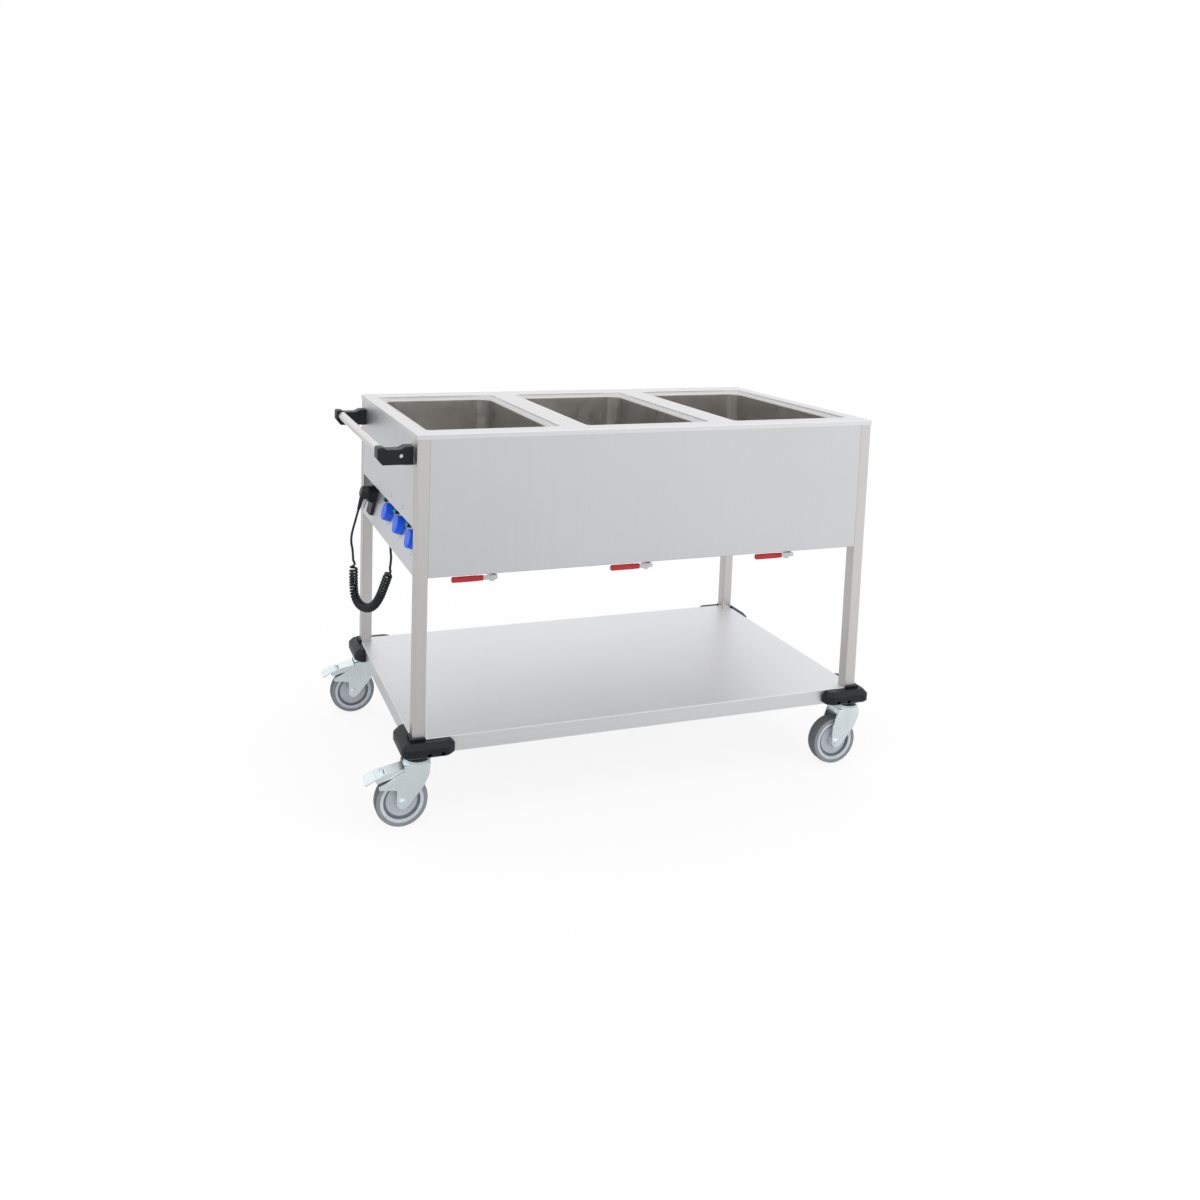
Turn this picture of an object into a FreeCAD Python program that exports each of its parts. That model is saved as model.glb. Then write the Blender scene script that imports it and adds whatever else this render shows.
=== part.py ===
import FreeCAD, Part
import math
import os
import re

import Sketcher

# A heated serving trolley with three wells, in millimetres: +Z up, floor at zero, handle towards -X.

SIZES = {
    # frame, deck and panels
    "deck_x": 41,
    "end_margin": 34,
    "side_margin": 56.5,
    "deck_height": 916,
    "deck_rim": 12,
    "deck_corner": 3,
    "deck_edge": 2,
    "sheet_wall": 1.5,
    "leg_width": 30,
    "leg_wall": 2,
    "leg_corner": 3,
    "body_height": 330,
    "panel_flange": 18,
    "panel_gap": 0.7,
    "panel_bend": 2,
    "weld_gap": 0.2,
    # pan seats and wells
    "seat_bridge": 68,
    "seat_length": 332,
    "seat_width": 537,
    "seat_drop": 7,
    "seat_corner": 12,
    "end_ledge": 16,
    "side_ledge": 18.5,
    "well_depth": 200,
    "well_wall": 1.2,
    "well_corner": 35,
    "well_foot": 14,
    "lip_width": 8,
    "lip_drop": 7,
    "lip_radius": 5.5,
    # heating element under each well
    "heater_radius": 4.2,
    "heater_pitch": 60,
    "heater_inset": 80,
    "heater_gap": 0.2,
    # drain of each well
    "drain_inset": 40,
    "drain_radius": 9,
    "drain_bore": 7,
    "drain_bend": 22,
    "valve_inset": 50,
    "valve_drop": 17,
    "valve_radius": 12,
    "valve_edge": 2,
    "valve_rise": 15,
    "nozzle_radius": 7,
    "ball_radius": 8,
    "ball_gap": 0.3,
    "ball_bore": 5,
    "stem_radius": 3,
    "stem_length": 23,
    "boss_radius": 6,
    "boss_length": 18,
    "running_fit": 0.05,
    "lever_length": 92,
    "lever_height": 10,
    "lever_thickness": 2.5,
    "grip_start": 40,
    "grip_end": 106,
    "grip_height": 13,
    "grip_thickness": 7,
    # sloping control fascia
    "fascia_height": 110,
    "fascia_recess": 29,
    "fascia_flange": 9,
    "knob_inset": 211,
    "knob_pitch": 128,
    "knob_rise": 70,
    "knob_radius": 23.5,
    "knob_face": 22,
    "knob_depth": 19,
    "knob_gap": 0.8,
    "knob_round": 3.5,
    "knob_bore_depth": 13,
    "knob_groove": 1.2,
    "spindle_radius": 3,
    "spindle_depth": 20,
    "bush_radius": 6,
    "thermostat_width": 44,
    "thermostat_depth": 30,
    "lamp_rise": 88,
    "lamp_radius": 6.5,
    "lamp_length": 8,
    "lamp_edge": 1,
    "lens_radius": 4.8,
    "lens_length": 5,
    # parking socket, plug and gland
    "holder_inset": 120,
    "holder_rise": 54,
    "holder_width": 50,
    "holder_height": 74,
    "holder_thickness": 8,
    "holder_corner": 8,
    "plug_rise": 72,
    "cup_radius": 24,
    "cup_length": 10,
    "plug_radius": 19.5,
    "plug_length": 36,
    "plug_edge": 3,
    "plug_gap": 0.5,
    "pin_radius": 2.4,
    "pin_spacing": 19,
    "pin_length": 6,
    "relief_out": 36,
    "relief_start": 12,
    "relief_end": 50,
    "relief_thick": 7,
    "relief_wall": 1,
    "gland_inset": 24,
    "gland_y": 32.3,
    "gland_radius": 11,
    "gland_length": 21.5,
    "gland_thread": 8,
    # mains lead
    "cord_diameter": 6.5,
    "curl_radius": 9.25,
    "curl_count": 37,
    # push handle
    "handle_drop": 54,
    "handle_rise": 6,
    "handle_reach": 68,
    "handle_radius": 11,
    "handle_wall": 1.5,
    "handle_inset": 70,
    "bracket_width": 35,
    "bracket_length": 83,
    "bracket_half_height": 21,
    "bracket_neck": 15,
    "bracket_end": 20,
    "bracket_root": 17,
    "bracket_waist": 30,
    "bracket_head": 24,
    "bracket_taper": 10,
    "bracket_chin": 12,
    "bracket_lip": 5,
    "bracket_round": 5,
    "socket_depth": 14,
    "screw_out": 28,
    "screw_radius": 2.5,
    "screw_head": 4.5,
    "screw_length": 24,
    "screw_sink": 2,
    # lower shelf and corner bumpers
    "shelf_fold": 38,
    "bumper_arm": 100,
    "bumper_thickness": 28,
    "bumper_end": 14,
    "bumper_bevel": 20,
    "bumper_lift": 3,
    "bumper_height": 33,
    "bumper_round": 18,
    "bumper_slope": 11,
    "bumper_foot": 5,
    "collar_thickness": 6,
    "collar_height": 39,
    "bumper_hole": 5,
    # castors
    "castor_rise": 44,
    "plug_in_leg": 45,
    "head_radius": 22,
    "head_edge": 2,
    "race_radius": 31,
    "race_edge": 3,
    "race_drop": 12,
    "swivel_gap": 0.4,
    "crown_radius": 32,
    "crown_thickness": 5.5,
    "kingpin_radius": 6,
    "kingpin_head": 9,
    "fork_plate": 3,
    "fork_half": 21,
    "fork_front": 27,
    "fork_back": 34,
    "fork_shoulder": 26,
    "fork_waist": 54,
    "fork_lean": 2,
    "fork_taper": 16,
    "fork_heel": 42,
    "lug_radius": 14,
    "horn_root": 32,
    "horn_reach": 93,
    "horn_rise": 38,
    "horn_tip": 8,
    "horn_drop": 15,
    "castor_trail": 37,
    "axle_radius": 6,
    "nut_radius": 9,
    "nut_length": 6,
    "wheel_radius": 62.5,
    "wheel_hub": 15,
    "hub_gap": 1,
    "rim_radius": 52,
    "rim_half": 14,
    "web_half": 9,
    "wheel_draft": 1,
    "groove_half": 6,
    "groove_inner": 38,
    "groove_outer": 43,
    "tyre_half": 16,
    "tyre_ease": 1,
    "tread_half": 8,
    # brake pedals
    "pivot_back": 27,
    "pivot_drop": 33,
    "pivot_radius": 4,
    "pedal_half": 19.5,
    "pedal_wall": 1.7,
    "pedal_reach": 125,
    "pedal_nose": 12,
    "pedal_sheet": 2,
    "pedal_top": 7,
    "pedal_flat": 8,
    "pedal_deep": 9,
    "pedal_run": 72,
    "pedal_fall": 6,
    "pedal_skirt": 22,
    "pedal_waist": 34,
    "shoe_near": 20,
    "shoe_far": 42,
    "shoe_toe": 7,
    "tread_start": 60,
    "tread_fall": 3.6,
    "tread_flare": 22,
    "tread_drop": 21,
    "tread_sheet": 3,
    "tread_width": 46,
    "pedal_bolt": 57,
    "bolt_radius": 6,
    "bolt_height": 8,
}

# Sizes that follow from others, as expressions on the sheet's aliases
DERIVED = {
    "well_pitch": "seat_length + seat_bridge",
    "well_length": "seat_length - 2 * end_ledge",
    "well_width": "seat_width - 2 * side_ledge",
    "deck_length": "2 * well_pitch + seat_length + 2 * end_margin",
    "deck_depth": "seat_width + 2 * side_margin",
    "heater_reach": "well_width / 2 - heater_inset",
    "valve_y": "valve_inset - deck_depth / 2",
    "knob_row_y": "knob_inset - deck_depth / 2",
    "holder_y": "deck_depth / 2 - holder_inset",
    "gland_x": "gland_inset - deck_length / 2",
    "handle_z": "deck_height - handle_drop",
    "handle_inner_y": "deck_depth / 2 - handle_inset",
    "castor_height": "2 * wheel_radius + castor_rise",
}

doc = FreeCAD.newDocument("bain_marie_trolley")
sheet = doc.addObject("Spreadsheet::Sheet", "Sizes")
for row, (alias, value) in enumerate(SIZES.items(), start=1):
    sheet.set(f"A{row}", alias)
    sheet.set(f"B{row}", str(value))
    sheet.setAlias(f"B{row}", alias)
doc.recompute()

nodes = []
V = FreeCAD.Vector
WORD = re.compile(r"[a-z][a-z_0-9]*")

# Levels and faces that several pieces share
BODY_FLOOR = "(deck_height - body_height)"
DECK_UNDER = "(deck_height - sheet_wall)"
SEAT_LEVEL = "(deck_height - seat_drop)"
WELL_FLOOR = f"({SEAT_LEVEL} - well_depth)"
WELL_UNDER = f"({WELL_FLOOR} - well_wall)"
FACE_X = "(deck_length / 2 - sheet_wall)"
FACE_Y = "(deck_depth / 2 - sheet_wall)"
LEG_X = f"({FACE_X} - leg_width / 2)"
LEG_Y = f"({FACE_Y} - leg_width / 2)"
TRAY_UNDER = f"({BODY_FLOOR} + sheet_wall)"
VALVE_Z = f"({BODY_FLOOR} - valve_drop)"
DRAIN_Y = "(drain_inset - well_width / 2)"
SLOPE = "atan(fascia_recess / fascia_height)"
SLOPE_SIN = f"sin({SLOPE})"
SLOPE_COS = f"cos({SLOPE})"
SIDES = {"left": -1, "right": 1}
ENDS = {"front": -1, "back": 1}


def spelled_out(text):
    """The same expression with each derived size written out in the sheet's aliases."""

    def in_full(word):
        name = word.group()
        return f"({spelled_out(DERIVED[name])})" if name in DERIVED else name

    return WORD.sub(in_full, str(text))


def number(text):
    """Value of an expression on named sizes, as a plain number."""
    value = sheet.evalExpression(spelled_out(text))
    return float(getattr(value, "Value", value))


def bind(item, path, text):
    """Tie a property to an expression on named sizes."""
    item.setExpression(path, WORD.sub(lambda word: cell_path(word.group()), spelled_out(text)))


def cell_path(word):
    return "Sizes." + word if word in SIZES else word


def new_body(label):
    item = doc.addObject("PartDesign::Body", label)
    item.Label = label
    return item


def sketch(owner, role, lift="0"):
    """A sketch on one of the body's origin planes, moved along the plane's normal by lift."""
    plane = next(feature for feature in owner.Origin.OriginFeatures if feature.Role == role)
    item = owner.newObject("Sketcher::SketchObject", owner.Name + "_sketch")
    item.AttachmentSupport = [(plane, "")]
    item.MapMode = "FlatFace"
    bind(item, "AttachmentOffset.Base.z", lift)
    return item


def pin_point(item, geometry, position, place):
    """Fix one point of a sketch by its two expressions."""
    for kind, text in zip(("DistanceX", "DistanceY"), place):
        index = item.addConstraint(Sketcher.Constraint(kind, -1, 1, geometry, position, number(text)))
        bind(item, f"Constraints[{index}]", text)


def outline(item, points):
    """Closed straight-sided outline whose corners are pairs of expressions."""
    first = item.GeometryCount
    corners = [V(number(x), number(y), 0) for x, y in points]
    following = corners[1:] + corners[:1]
    for start, end in zip(corners, following):
        item.addGeometry(Part.LineSegment(start, end), False)
    for step, place in enumerate(points):
        after = first + (step + 1) % len(points)
        item.addConstraint(Sketcher.Constraint("Coincident", first + step, 2, after, 1))
        pin_point(item, first + step, 1, place)


def rectangle(item, half_x, half_y, x="0", y="0"):
    low_x, high_x = f"{x} - ({half_x})", f"{x} + ({half_x})"
    low_y, high_y = f"{y} - ({half_y})", f"{y} + ({half_y})"
    outline(item, [(low_x, low_y), (high_x, low_y), (high_x, high_y), (low_x, high_y)])


def rounded_rectangle(item, half_x, half_y, radius):
    """Rectangle about the sketch's origin whose corners are quarter circles."""
    near_x, near_y = f"({half_x} - ({radius}))", f"({half_y} - ({radius}))"
    corners = [(1, -1, -90), (1, 1, 0), (-1, 1, 90), (-1, -1, 180)]
    size = number(radius)
    arcs = []
    for sign_x, sign_y, turn in corners:
        middle = V(sign_x * number(near_x), sign_y * number(near_y), 0)
        begin, end = math.radians(turn), math.radians(turn + 90)
        ring = Part.Circle(middle, V(0, 0, 1), size)
        arcs.append(item.addGeometry(Part.ArcOfCircle(ring, begin, end), False))
    for arc, (sign_x, sign_y, _) in zip(arcs, corners):
        pin_point(item, arc, 3, (f"{sign_x} * {near_x}", f"{sign_y} * {near_y}"))
    for arc, following in zip(arcs, arcs[1:] + arcs[:1]):
        ends = [item.getPoint(arc, 2), item.getPoint(following, 1)]
        side = item.addGeometry(Part.LineSegment(*ends), False)
        item.addConstraint(Sketcher.Constraint("Tangent", arc, 2, side, 1))
        item.addConstraint(Sketcher.Constraint("Tangent", side, 2, following, 1))
        if arc != arcs[-1]:
            upright = near(ends[0].x, ends[1].x)
            item.addConstraint(Sketcher.Constraint("Vertical" if upright else "Horizontal", side))
    index = item.addConstraint(Sketcher.Constraint("Radius", arcs[0], size))
    bind(item, f"Constraints[{index}]", radius)


def notched_rectangle(item, half_x, half_y, notch):
    """A rectangle with a square notch at each corner, where a leg stands."""
    inner_x, inner_y = f"({half_x} - ({notch}))", f"({half_y} - ({notch}))"
    quarter = [(half_x, inner_y), (inner_x, inner_y), (inner_x, half_y)]
    turned = [(f"-{x}", y) for x, y in reversed(quarter)]
    upper = quarter + turned
    lower = [(f"-{x}" if not x.startswith("-") else x[1:], f"-{y}") for x, y in upper]
    outline(item, upper + lower)


def circle(item, x, y, radius):
    index = item.addGeometry(Part.Circle(V(number(x), number(y), 0), V(0, 0, 1), number(radius)), False)
    pin_point(item, index, 3, (x, y))
    size = item.addConstraint(Sketcher.Constraint("Radius", index, number(radius)))
    bind(item, f"Constraints[{size}]", radius)


def pad(owner, profile, length, back=False, both=False):
    item = owner.newObject("PartDesign::Pad", owner.Name + "_pad")
    item.Profile = profile
    bind(item, "Length", length)
    item.Reversed = back
    if both:
        item.SideType = "Symmetric"
    doc.recompute()
    return item


def pocket(owner, profile, length, back=False, both=False):
    """A cut, checked to take material away."""
    before = owner.Shape.Volume
    item = owner.newObject("PartDesign::Pocket", owner.Name + "_pocket")
    item.Profile = profile
    bind(item, "Length", length)
    item.Reversed = back
    if both:
        item.SideType = "Symmetric"
    doc.recompute()
    if owner.Shape.Volume > before - 1e-3:
        raise RuntimeError(f"{owner.Label}: a pocket cuts nothing")
    return item


def revolve(owner, profile, axis):
    item = owner.newObject("PartDesign::Revolution", owner.Name + "_turn")
    item.Profile = profile
    item.ReferenceAxis = (profile, [axis])
    item.Angle = 360
    doc.recompute()
    return item


def fillet(owner, wanted, radius):
    """Round every edge of the body that the test picks."""
    base = owner.Tip
    names = [f"Edge{i}" for i, edge in enumerate(base.Shape.Edges, start=1) if wanted(edge)]
    if not names:
        raise RuntimeError(f"{owner.Label}: no edge to round")
    item = owner.newObject("PartDesign::Fillet", owner.Name + "_round")
    item.Base = (base, names)
    bind(item, "Radius", radius)
    doc.recompute()
    if "Invalid" in item.State:
        raise RuntimeError(f"{owner.Label}: a rounding of {radius} fails")
    return item


def chamfer(owner, wanted, size):
    """Slope every edge of the body that the test picks."""
    base = owner.Tip
    names = [f"Edge{i}" for i, edge in enumerate(base.Shape.Edges, start=1) if wanted(edge)]
    if not names:
        raise RuntimeError(f"{owner.Label}: no edge to slope")
    item = owner.newObject("PartDesign::Chamfer", owner.Name + "_slope")
    item.Base = (base, names)
    bind(item, "Size", size)
    doc.recompute()
    if "Invalid" in item.State:
        raise RuntimeError(f"{owner.Label}: a slope of {size} fails")
    return item


def near(first, second):
    return abs(first - second) < 0.01


def straight(edge, axis):
    """True for a straight edge along one of the axes 0, 1, 2."""
    if edge.Curve.TypeId != "Part::GeomLine":
        return False
    return near(abs(edge.tangentAt(edge.FirstParameter)[axis]), 1)


def spans(low, high):
    """Test for an upright edge between two levels."""
    bottom, top = number(low), number(high)

    def picked(edge):
        box = edge.BoundBox
        return straight(edge, 2) and near(box.ZMin, bottom) and near(box.ZMax, top)

    return picked


def level(height, inside=("deck_length", "deck_length")):
    """Test for an edge at one level, within half sizes of the body's middle where they are given."""
    at = number(height)
    limit_x, limit_y = (number(half) for half in inside)

    def picked(edge):
        box = edge.BoundBox
        within = max(-box.XMin, box.XMax) < limit_x and max(-box.YMin, box.YMax) < limit_y
        return near(box.ZMin, at) and near(box.ZMax, at) and within

    return picked


def place(item, x="0", y="0", z="0"):
    """Set a piece in the trolley, from the point on the floor below the deck's middle."""
    bind(item, "Placement.Base.x", f"deck_x + ({x})")
    bind(item, "Placement.Base.y", y)
    bind(item, "Placement.Base.z", z)
    return item


def place_on_fascia(item, y, rise, out="0"):
    """Set a piece that is modelled upright, facing -X, on the sloping fascia."""
    item.Placement = FreeCAD.Placement(V(0, 0, 0), FreeCAD.Rotation(V(0, 1, 0), 10))
    bind(item, "Placement.Rotation.Angle", SLOPE)
    place(
        item,
        f"{rise} * {SLOPE_SIN} - ({out}) * {SLOPE_COS} - {FACE_X}",
        y,
        f"{BODY_FLOOR} + {rise} * {SLOPE_COS} + ({out}) * {SLOPE_SIN}",
    )
    return item


def block(name, length, width, height):
    item = doc.addObject("Part::Box", name)
    for path, text in (("Length", length), ("Width", width), ("Height", height)):
        bind(item, path, text)
    return item


def rod(name, radius, length, axis):
    """A cylinder from the origin along an axis."""
    item = doc.addObject("Part::Cylinder", name)
    bind(item, "Radius", radius)
    bind(item, "Height", length)
    item.Placement = FreeCAD.Placement(V(0, 0, 0), FreeCAD.Rotation(V(0, 0, 1), axis))
    return item


def shift(item, x="0", y="0", z="0"):
    """Move a primitive within its own piece."""
    for path, text in (("x", x), ("y", y), ("z", z)):
        bind(item, "Placement.Base." + path, text)
    return item


def joined(name, pieces):
    item = doc.addObject("Part::MultiFuse", name)
    item.Shapes = pieces
    doc.recompute()
    return item


def cut(name, base, tool):
    item = doc.addObject("Part::Cut", name)
    item.Base = base
    item.Tool = tool
    doc.recompute()
    if item.Shape.Volume > base.Shape.Volume - 1e-3:
        raise RuntimeError(f"{name}: a cut takes nothing away")
    return item


def node(item, label=None):
    """Count a finished piece as one of the trolley's nodes."""
    item.Label = label or item.Label
    nodes.append(item)
    return item


def group(label, pieces):
    """Identical separate pieces that share one node."""
    item = doc.addObject("Part::Compound", label)
    item.Links = pieces
    doc.recompute()
    return node(item, label)


def each_well():
    for index in range(3):
        yield index + 1, f"({index - 1} * well_pitch)"


def each_corner():
    for end, y_sign in ENDS.items():
        for side, x_sign in SIDES.items():
            yield f"{end}_{side}", x_sign, y_sign


def leg(label, x_sign, y_sign):
    """Square tube from the castor up to the underside of the deck."""
    item = new_body(label)
    ring = sketch(item, "XY_Plane", "castor_height")
    rectangle(ring, "leg_width / 2", "leg_width / 2")
    rectangle(ring, "leg_width / 2 - leg_wall", "leg_width / 2 - leg_wall")
    pad(item, ring, f"{DECK_UNDER} - castor_height")
    outer = number("leg_width / 2")
    fillet(item, lambda edge: straight(edge, 2) and near(abs(edge.CenterOfMass.x), outer), "leg_corner")
    return node(place(item, f"{x_sign} * {LEG_X}", f"{y_sign} * {LEG_Y}"))


def top_deck():
    """Pressed deck: rim turned down all round, three sunk pan seats, an open mouth in each."""
    item = new_body("top_deck")
    plate = sketch(item, "XY_Plane", "deck_height - deck_rim")
    rectangle(plate, "deck_length / 2", "deck_depth / 2")
    pad(item, plate, "deck_rim")
    hollow = sketch(item, "XY_Plane", "deck_height - deck_rim")
    rectangle(hollow, FACE_X, FACE_Y)
    pocket(item, hollow, "deck_rim - sheet_wall", back=True)
    trays = sketch(item, "XY_Plane", DECK_UNDER)
    seats = sketch(item, "XY_Plane", "deck_height")
    mouths = sketch(item, "XY_Plane", SEAT_LEVEL)
    for _, x in each_well():
        rectangle(trays, "seat_length / 2 + sheet_wall", "seat_width / 2 + sheet_wall", x)
        rectangle(seats, "seat_length / 2", "seat_width / 2", x)
        rectangle(mouths, "well_length / 2 + lip_width", "well_width / 2 + lip_width", x)
    pad(item, trays, "seat_drop", back=True)
    pocket(item, seats, "seat_drop")
    fillet(item, spans(SEAT_LEVEL, "deck_height"), "seat_corner")
    fillet(item, spans(f"{DECK_UNDER} - seat_drop", DECK_UNDER), "seat_corner + sheet_wall")
    pocket(item, mouths, "sheet_wall")
    fillet(item, spans(f"{SEAT_LEVEL} - sheet_wall", SEAT_LEVEL), "well_corner + lip_width")
    fillet(item, spans("deck_height - deck_rim", "deck_height"), "deck_corner")
    fillet(item, level("deck_height"), "deck_edge")
    return node(place(item))


def well(index, x):
    """Drawn well with a rounded lip that lies flush in its seat, and a drain hole at the front."""
    item = new_body(f"well_{index}")
    half_x, half_y = "well_length / 2", "well_width / 2"
    shell = sketch(item, "XY_Plane", WELL_UNDER)
    rounded_rectangle(shell, f"{half_x} + well_wall", f"{half_y} + well_wall", "well_corner + well_wall")
    pad(item, shell, "well_depth + well_wall - lip_drop")
    lip = sketch(item, "XY_Plane", f"{SEAT_LEVEL} - lip_drop")
    rounded_rectangle(lip, f"{half_x} + lip_width", f"{half_y} + lip_width", "well_corner + lip_width")
    pad(item, lip, "lip_drop")
    inside = sketch(item, "XY_Plane", SEAT_LEVEL)
    rounded_rectangle(inside, half_x, half_y, "well_corner")
    pocket(item, inside, "well_depth")
    fillet(item, level(WELL_FLOOR), "well_foot")
    fillet(item, level(WELL_UNDER), "well_foot + well_wall")
    fillet(item, level(SEAT_LEVEL, (f"{half_x} + lip_width / 2", f"{half_y} + lip_width / 2")), "lip_radius")
    drain = sketch(item, "XY_Plane", WELL_FLOOR)
    circle(drain, "0", DRAIN_Y, "drain_bore")
    pocket(item, drain, "well_wall")
    return node(place(item, x))


def channel(face, low, high, low_flange, high_flange):
    """Outline of a panel in section: a sheet at face with flanges turned in at its bottom and top."""
    inner = f"({face} - sheet_wall)"
    return [
        (face, low),
        (face, high),
        (f"{face} - ({high_flange})", high),
        (f"{face} - ({high_flange})", f"{high} - sheet_wall"),
        (inner, f"{high} - sheet_wall"),
        (inner, f"{low} + sheet_wall"),
        (f"{face} - ({low_flange})", f"{low} + sheet_wall"),
        (f"{face} - ({low_flange})", low),
    ]


def panel(label, role, face, sign, low, low_flange, length):
    """Folded panel between two legs."""
    item = new_body(label)
    section = sketch(item, role)
    points = channel(face, low, DECK_UNDER, low_flange, "panel_flange")
    outline(section, [(f"{sign} * ({across})", up) for across, up in points])
    pad(item, section, length, both=True)
    run = 0 if role == "YZ_Plane" else 1
    bend, bottom = number(face), number(low)

    def lower_bend(edge):
        middle = edge.CenterOfMass
        return straight(edge, run) and near(abs(middle[1 - run]), bend) and near(middle.z, bottom)

    fillet(item, lower_bend, "panel_bend")
    return node(place(item))


def panels():
    long_run = f"2 * ({LEG_X} - leg_width / 2 - panel_gap)"
    end_run = f"2 * ({LEG_Y} - leg_width / 2 - panel_gap)"
    for end, sign in ENDS.items():
        panel(f"{end}_panel", "YZ_Plane", FACE_Y, sign, BODY_FLOOR, "panel_flange", long_run)
    panel("right_end_panel", "XZ_Plane", FACE_X, 1, BODY_FLOOR, "panel_flange", end_run)
    overhang = f"({BODY_FLOOR} + fascia_height)"
    panel("left_end_panel", "XZ_Plane", FACE_X, -1, overhang, "fascia_recess + panel_flange", end_run)


def base_tray():
    """Sheet that closes the body from below, resting on the panels' flanges round the legs."""
    item = new_body("base_tray")
    plate = sketch(item, "XY_Plane", TRAY_UNDER)
    half_x = f"({FACE_X} - 3 * sheet_wall)"
    half_y = f"({FACE_Y} - 3 * sheet_wall)"
    notched_rectangle(plate, half_x, half_y, "leg_width - 2 * sheet_wall")
    pad(item, plate, "sheet_wall")
    holes = sketch(item, "XY_Plane", f"{TRAY_UNDER} + sheet_wall")
    for _, x in each_well():
        circle(holes, x, "valve_y", "drain_radius + panel_gap")
    circle(holes, "gland_x", "gland_y", "gland_thread")
    pocket(item, holes, "sheet_wall")
    return node(place(item))


def knob_y(index):
    return f"(knob_row_y + {2 - index} * knob_pitch)"


def lamp_y(index):
    """A lamp is halfway from its knob to the next one towards the back."""
    return f"({knob_y(index)} + knob_pitch / 2)"


def control_fascia():
    """Sloping sheet under the left end panel, bored for the bushes and lamps."""
    plate = new_body("fascia_plate")
    section = sketch(plate, "XZ_Plane")
    wall = f"(sheet_wall / {SLOPE_COS})"
    rise = "fascia_recess / fascia_height"
    points = [
        ("0", "0"),
        ("fascia_recess", "fascia_height"),
        (f"fascia_recess + {wall}", "fascia_height"),
        (f"{wall} + sheet_wall * {rise}", "sheet_wall"),
        ("fascia_flange", "sheet_wall"),
        ("fascia_flange", "0"),
    ]
    outline(section, points)
    pad(plate, section, f"2 * ({LEG_Y} - leg_width / 2 - panel_gap)", both=True)
    place(plate, f"-{FACE_X}", "0", BODY_FLOOR)
    bores = []
    for index in (1, 2, 3):
        bores.append(fascia_bore("bush_radius + weld_gap", knob_y(index), "knob_rise"))
        bores.append(fascia_bore("lens_radius + weld_gap", lamp_y(index), "lamp_rise"))
    return node(cut("control_fascia", plate, joined("fascia_bores", bores)))


def fascia_bore(radius, y, rise):
    """Core of a round hole square to the fascia."""
    core = doc.addObject("Part::Compound", "bore_core")
    core.Links = [rod("bore", radius, "4 * sheet_wall", V(-1, 0, 0))]
    return place_on_fascia(core, y, rise, "-2 * sheet_wall")


def turned(label, role, axis, points):
    """A piece turned about an axis of the sketch plane."""
    item = new_body(label)
    section = sketch(item, role)
    outline(section, points)
    revolve(item, section, axis)
    return item


def knob(index):
    """Round cap on a spindle, bored from behind, with an index groove on its face."""
    back, face = "-knob_gap", "-(knob_gap + knob_depth)"
    bore, floor = "(spindle_radius + running_fit)", "-(knob_gap + knob_bore_depth)"
    points = [
        (back, bore),
        (back, "knob_radius"),
        (face, "knob_face"),
        (face, "0"),
        (floor, "0"),
        (floor, bore),
    ]
    item = turned(f"knob_{index}", "XZ_Plane", "H_Axis", points)
    front = number(face)

    def face_rim(edge):
        return near(edge.BoundBox.XMin, front) and near(edge.BoundBox.XMax, front)

    fillet(item, face_rim, "knob_round")
    mark = sketch(item, "YZ_Plane", face)
    rectangle(mark, "knob_groove", "knob_face / 4", "0", "knob_face * 0.7")
    pocket(item, mark, "knob_groove", back=True)
    node(place_on_fascia(item, knob_y(index), "knob_rise"))
    spindle = rod(f"spindle_rod_{index}", "spindle_radius", "spindle_depth + knob_bore_depth", V(-1, 0, 0))
    shift(spindle, "spindle_depth")
    carried = doc.addObject("Part::Compound", f"knob_spindle_{index}")
    carried.Links = [spindle]
    node(place_on_fascia(carried, knob_y(index), "knob_rise"))


def thermostat(index):
    """Switch box behind the fascia, with the bush that carries the spindle."""
    width, depth = "thermostat_width", "thermostat_depth"
    case = block("thermostat_case", depth, width, width)
    shift(case, "sheet_wall", f"-{width} / 2", f"-{width} / 2")
    bush = shift(rod("thermostat_bush", "bush_radius", "2 * sheet_wall", V(-1, 0, 0)), "2 * sheet_wall")
    bore = rod("thermostat_bore", "spindle_radius + running_fit", f"{depth}", V(-1, 0, 0))
    shift(bore, "spindle_depth + knob_gap")
    item = cut(f"thermostat_{index}", joined("thermostat_block", [case, bush]), bore)
    return place_on_fascia(item, knob_y(index), "knob_rise")


def lamp_pieces():
    """Pilot lamps beside the knobs: a black bezel each, and a lens that passes through it."""
    bezels, lenses = [], []
    for index in (1, 2, 3):
        ring = [
            ("0", "lens_radius"),
            ("0", "lamp_radius"),
            ("-lamp_length + lamp_edge", "lamp_radius"),
            ("-lamp_length", "lamp_radius - lamp_edge"),
            ("-lamp_length", "lens_radius"),
        ]
        glass = [
            ("2 * sheet_wall", "0"),
            ("2 * sheet_wall", "lens_radius"),
            ("-lamp_length", "lens_radius"),
            ("-(lamp_length + lens_length * 0.6)", "lens_radius * 0.8"),
            ("-(lamp_length + lens_length)", "lens_radius * 0.3"),
            ("-(lamp_length + lens_length)", "0"),
        ]
        bezel = turned(f"lamp_bezel_{index}", "XZ_Plane", "H_Axis", ring)
        lens = turned(f"lamp_lens_{index}", "XZ_Plane", "H_Axis", glass)
        bezels.append(place_on_fascia(bezel, lamp_y(index), "lamp_rise"))
        lenses.append(place_on_fascia(lens, lamp_y(index), "lamp_rise"))
    group("lamp_bezels", bezels)
    group("pilot_lamps", lenses)


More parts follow.
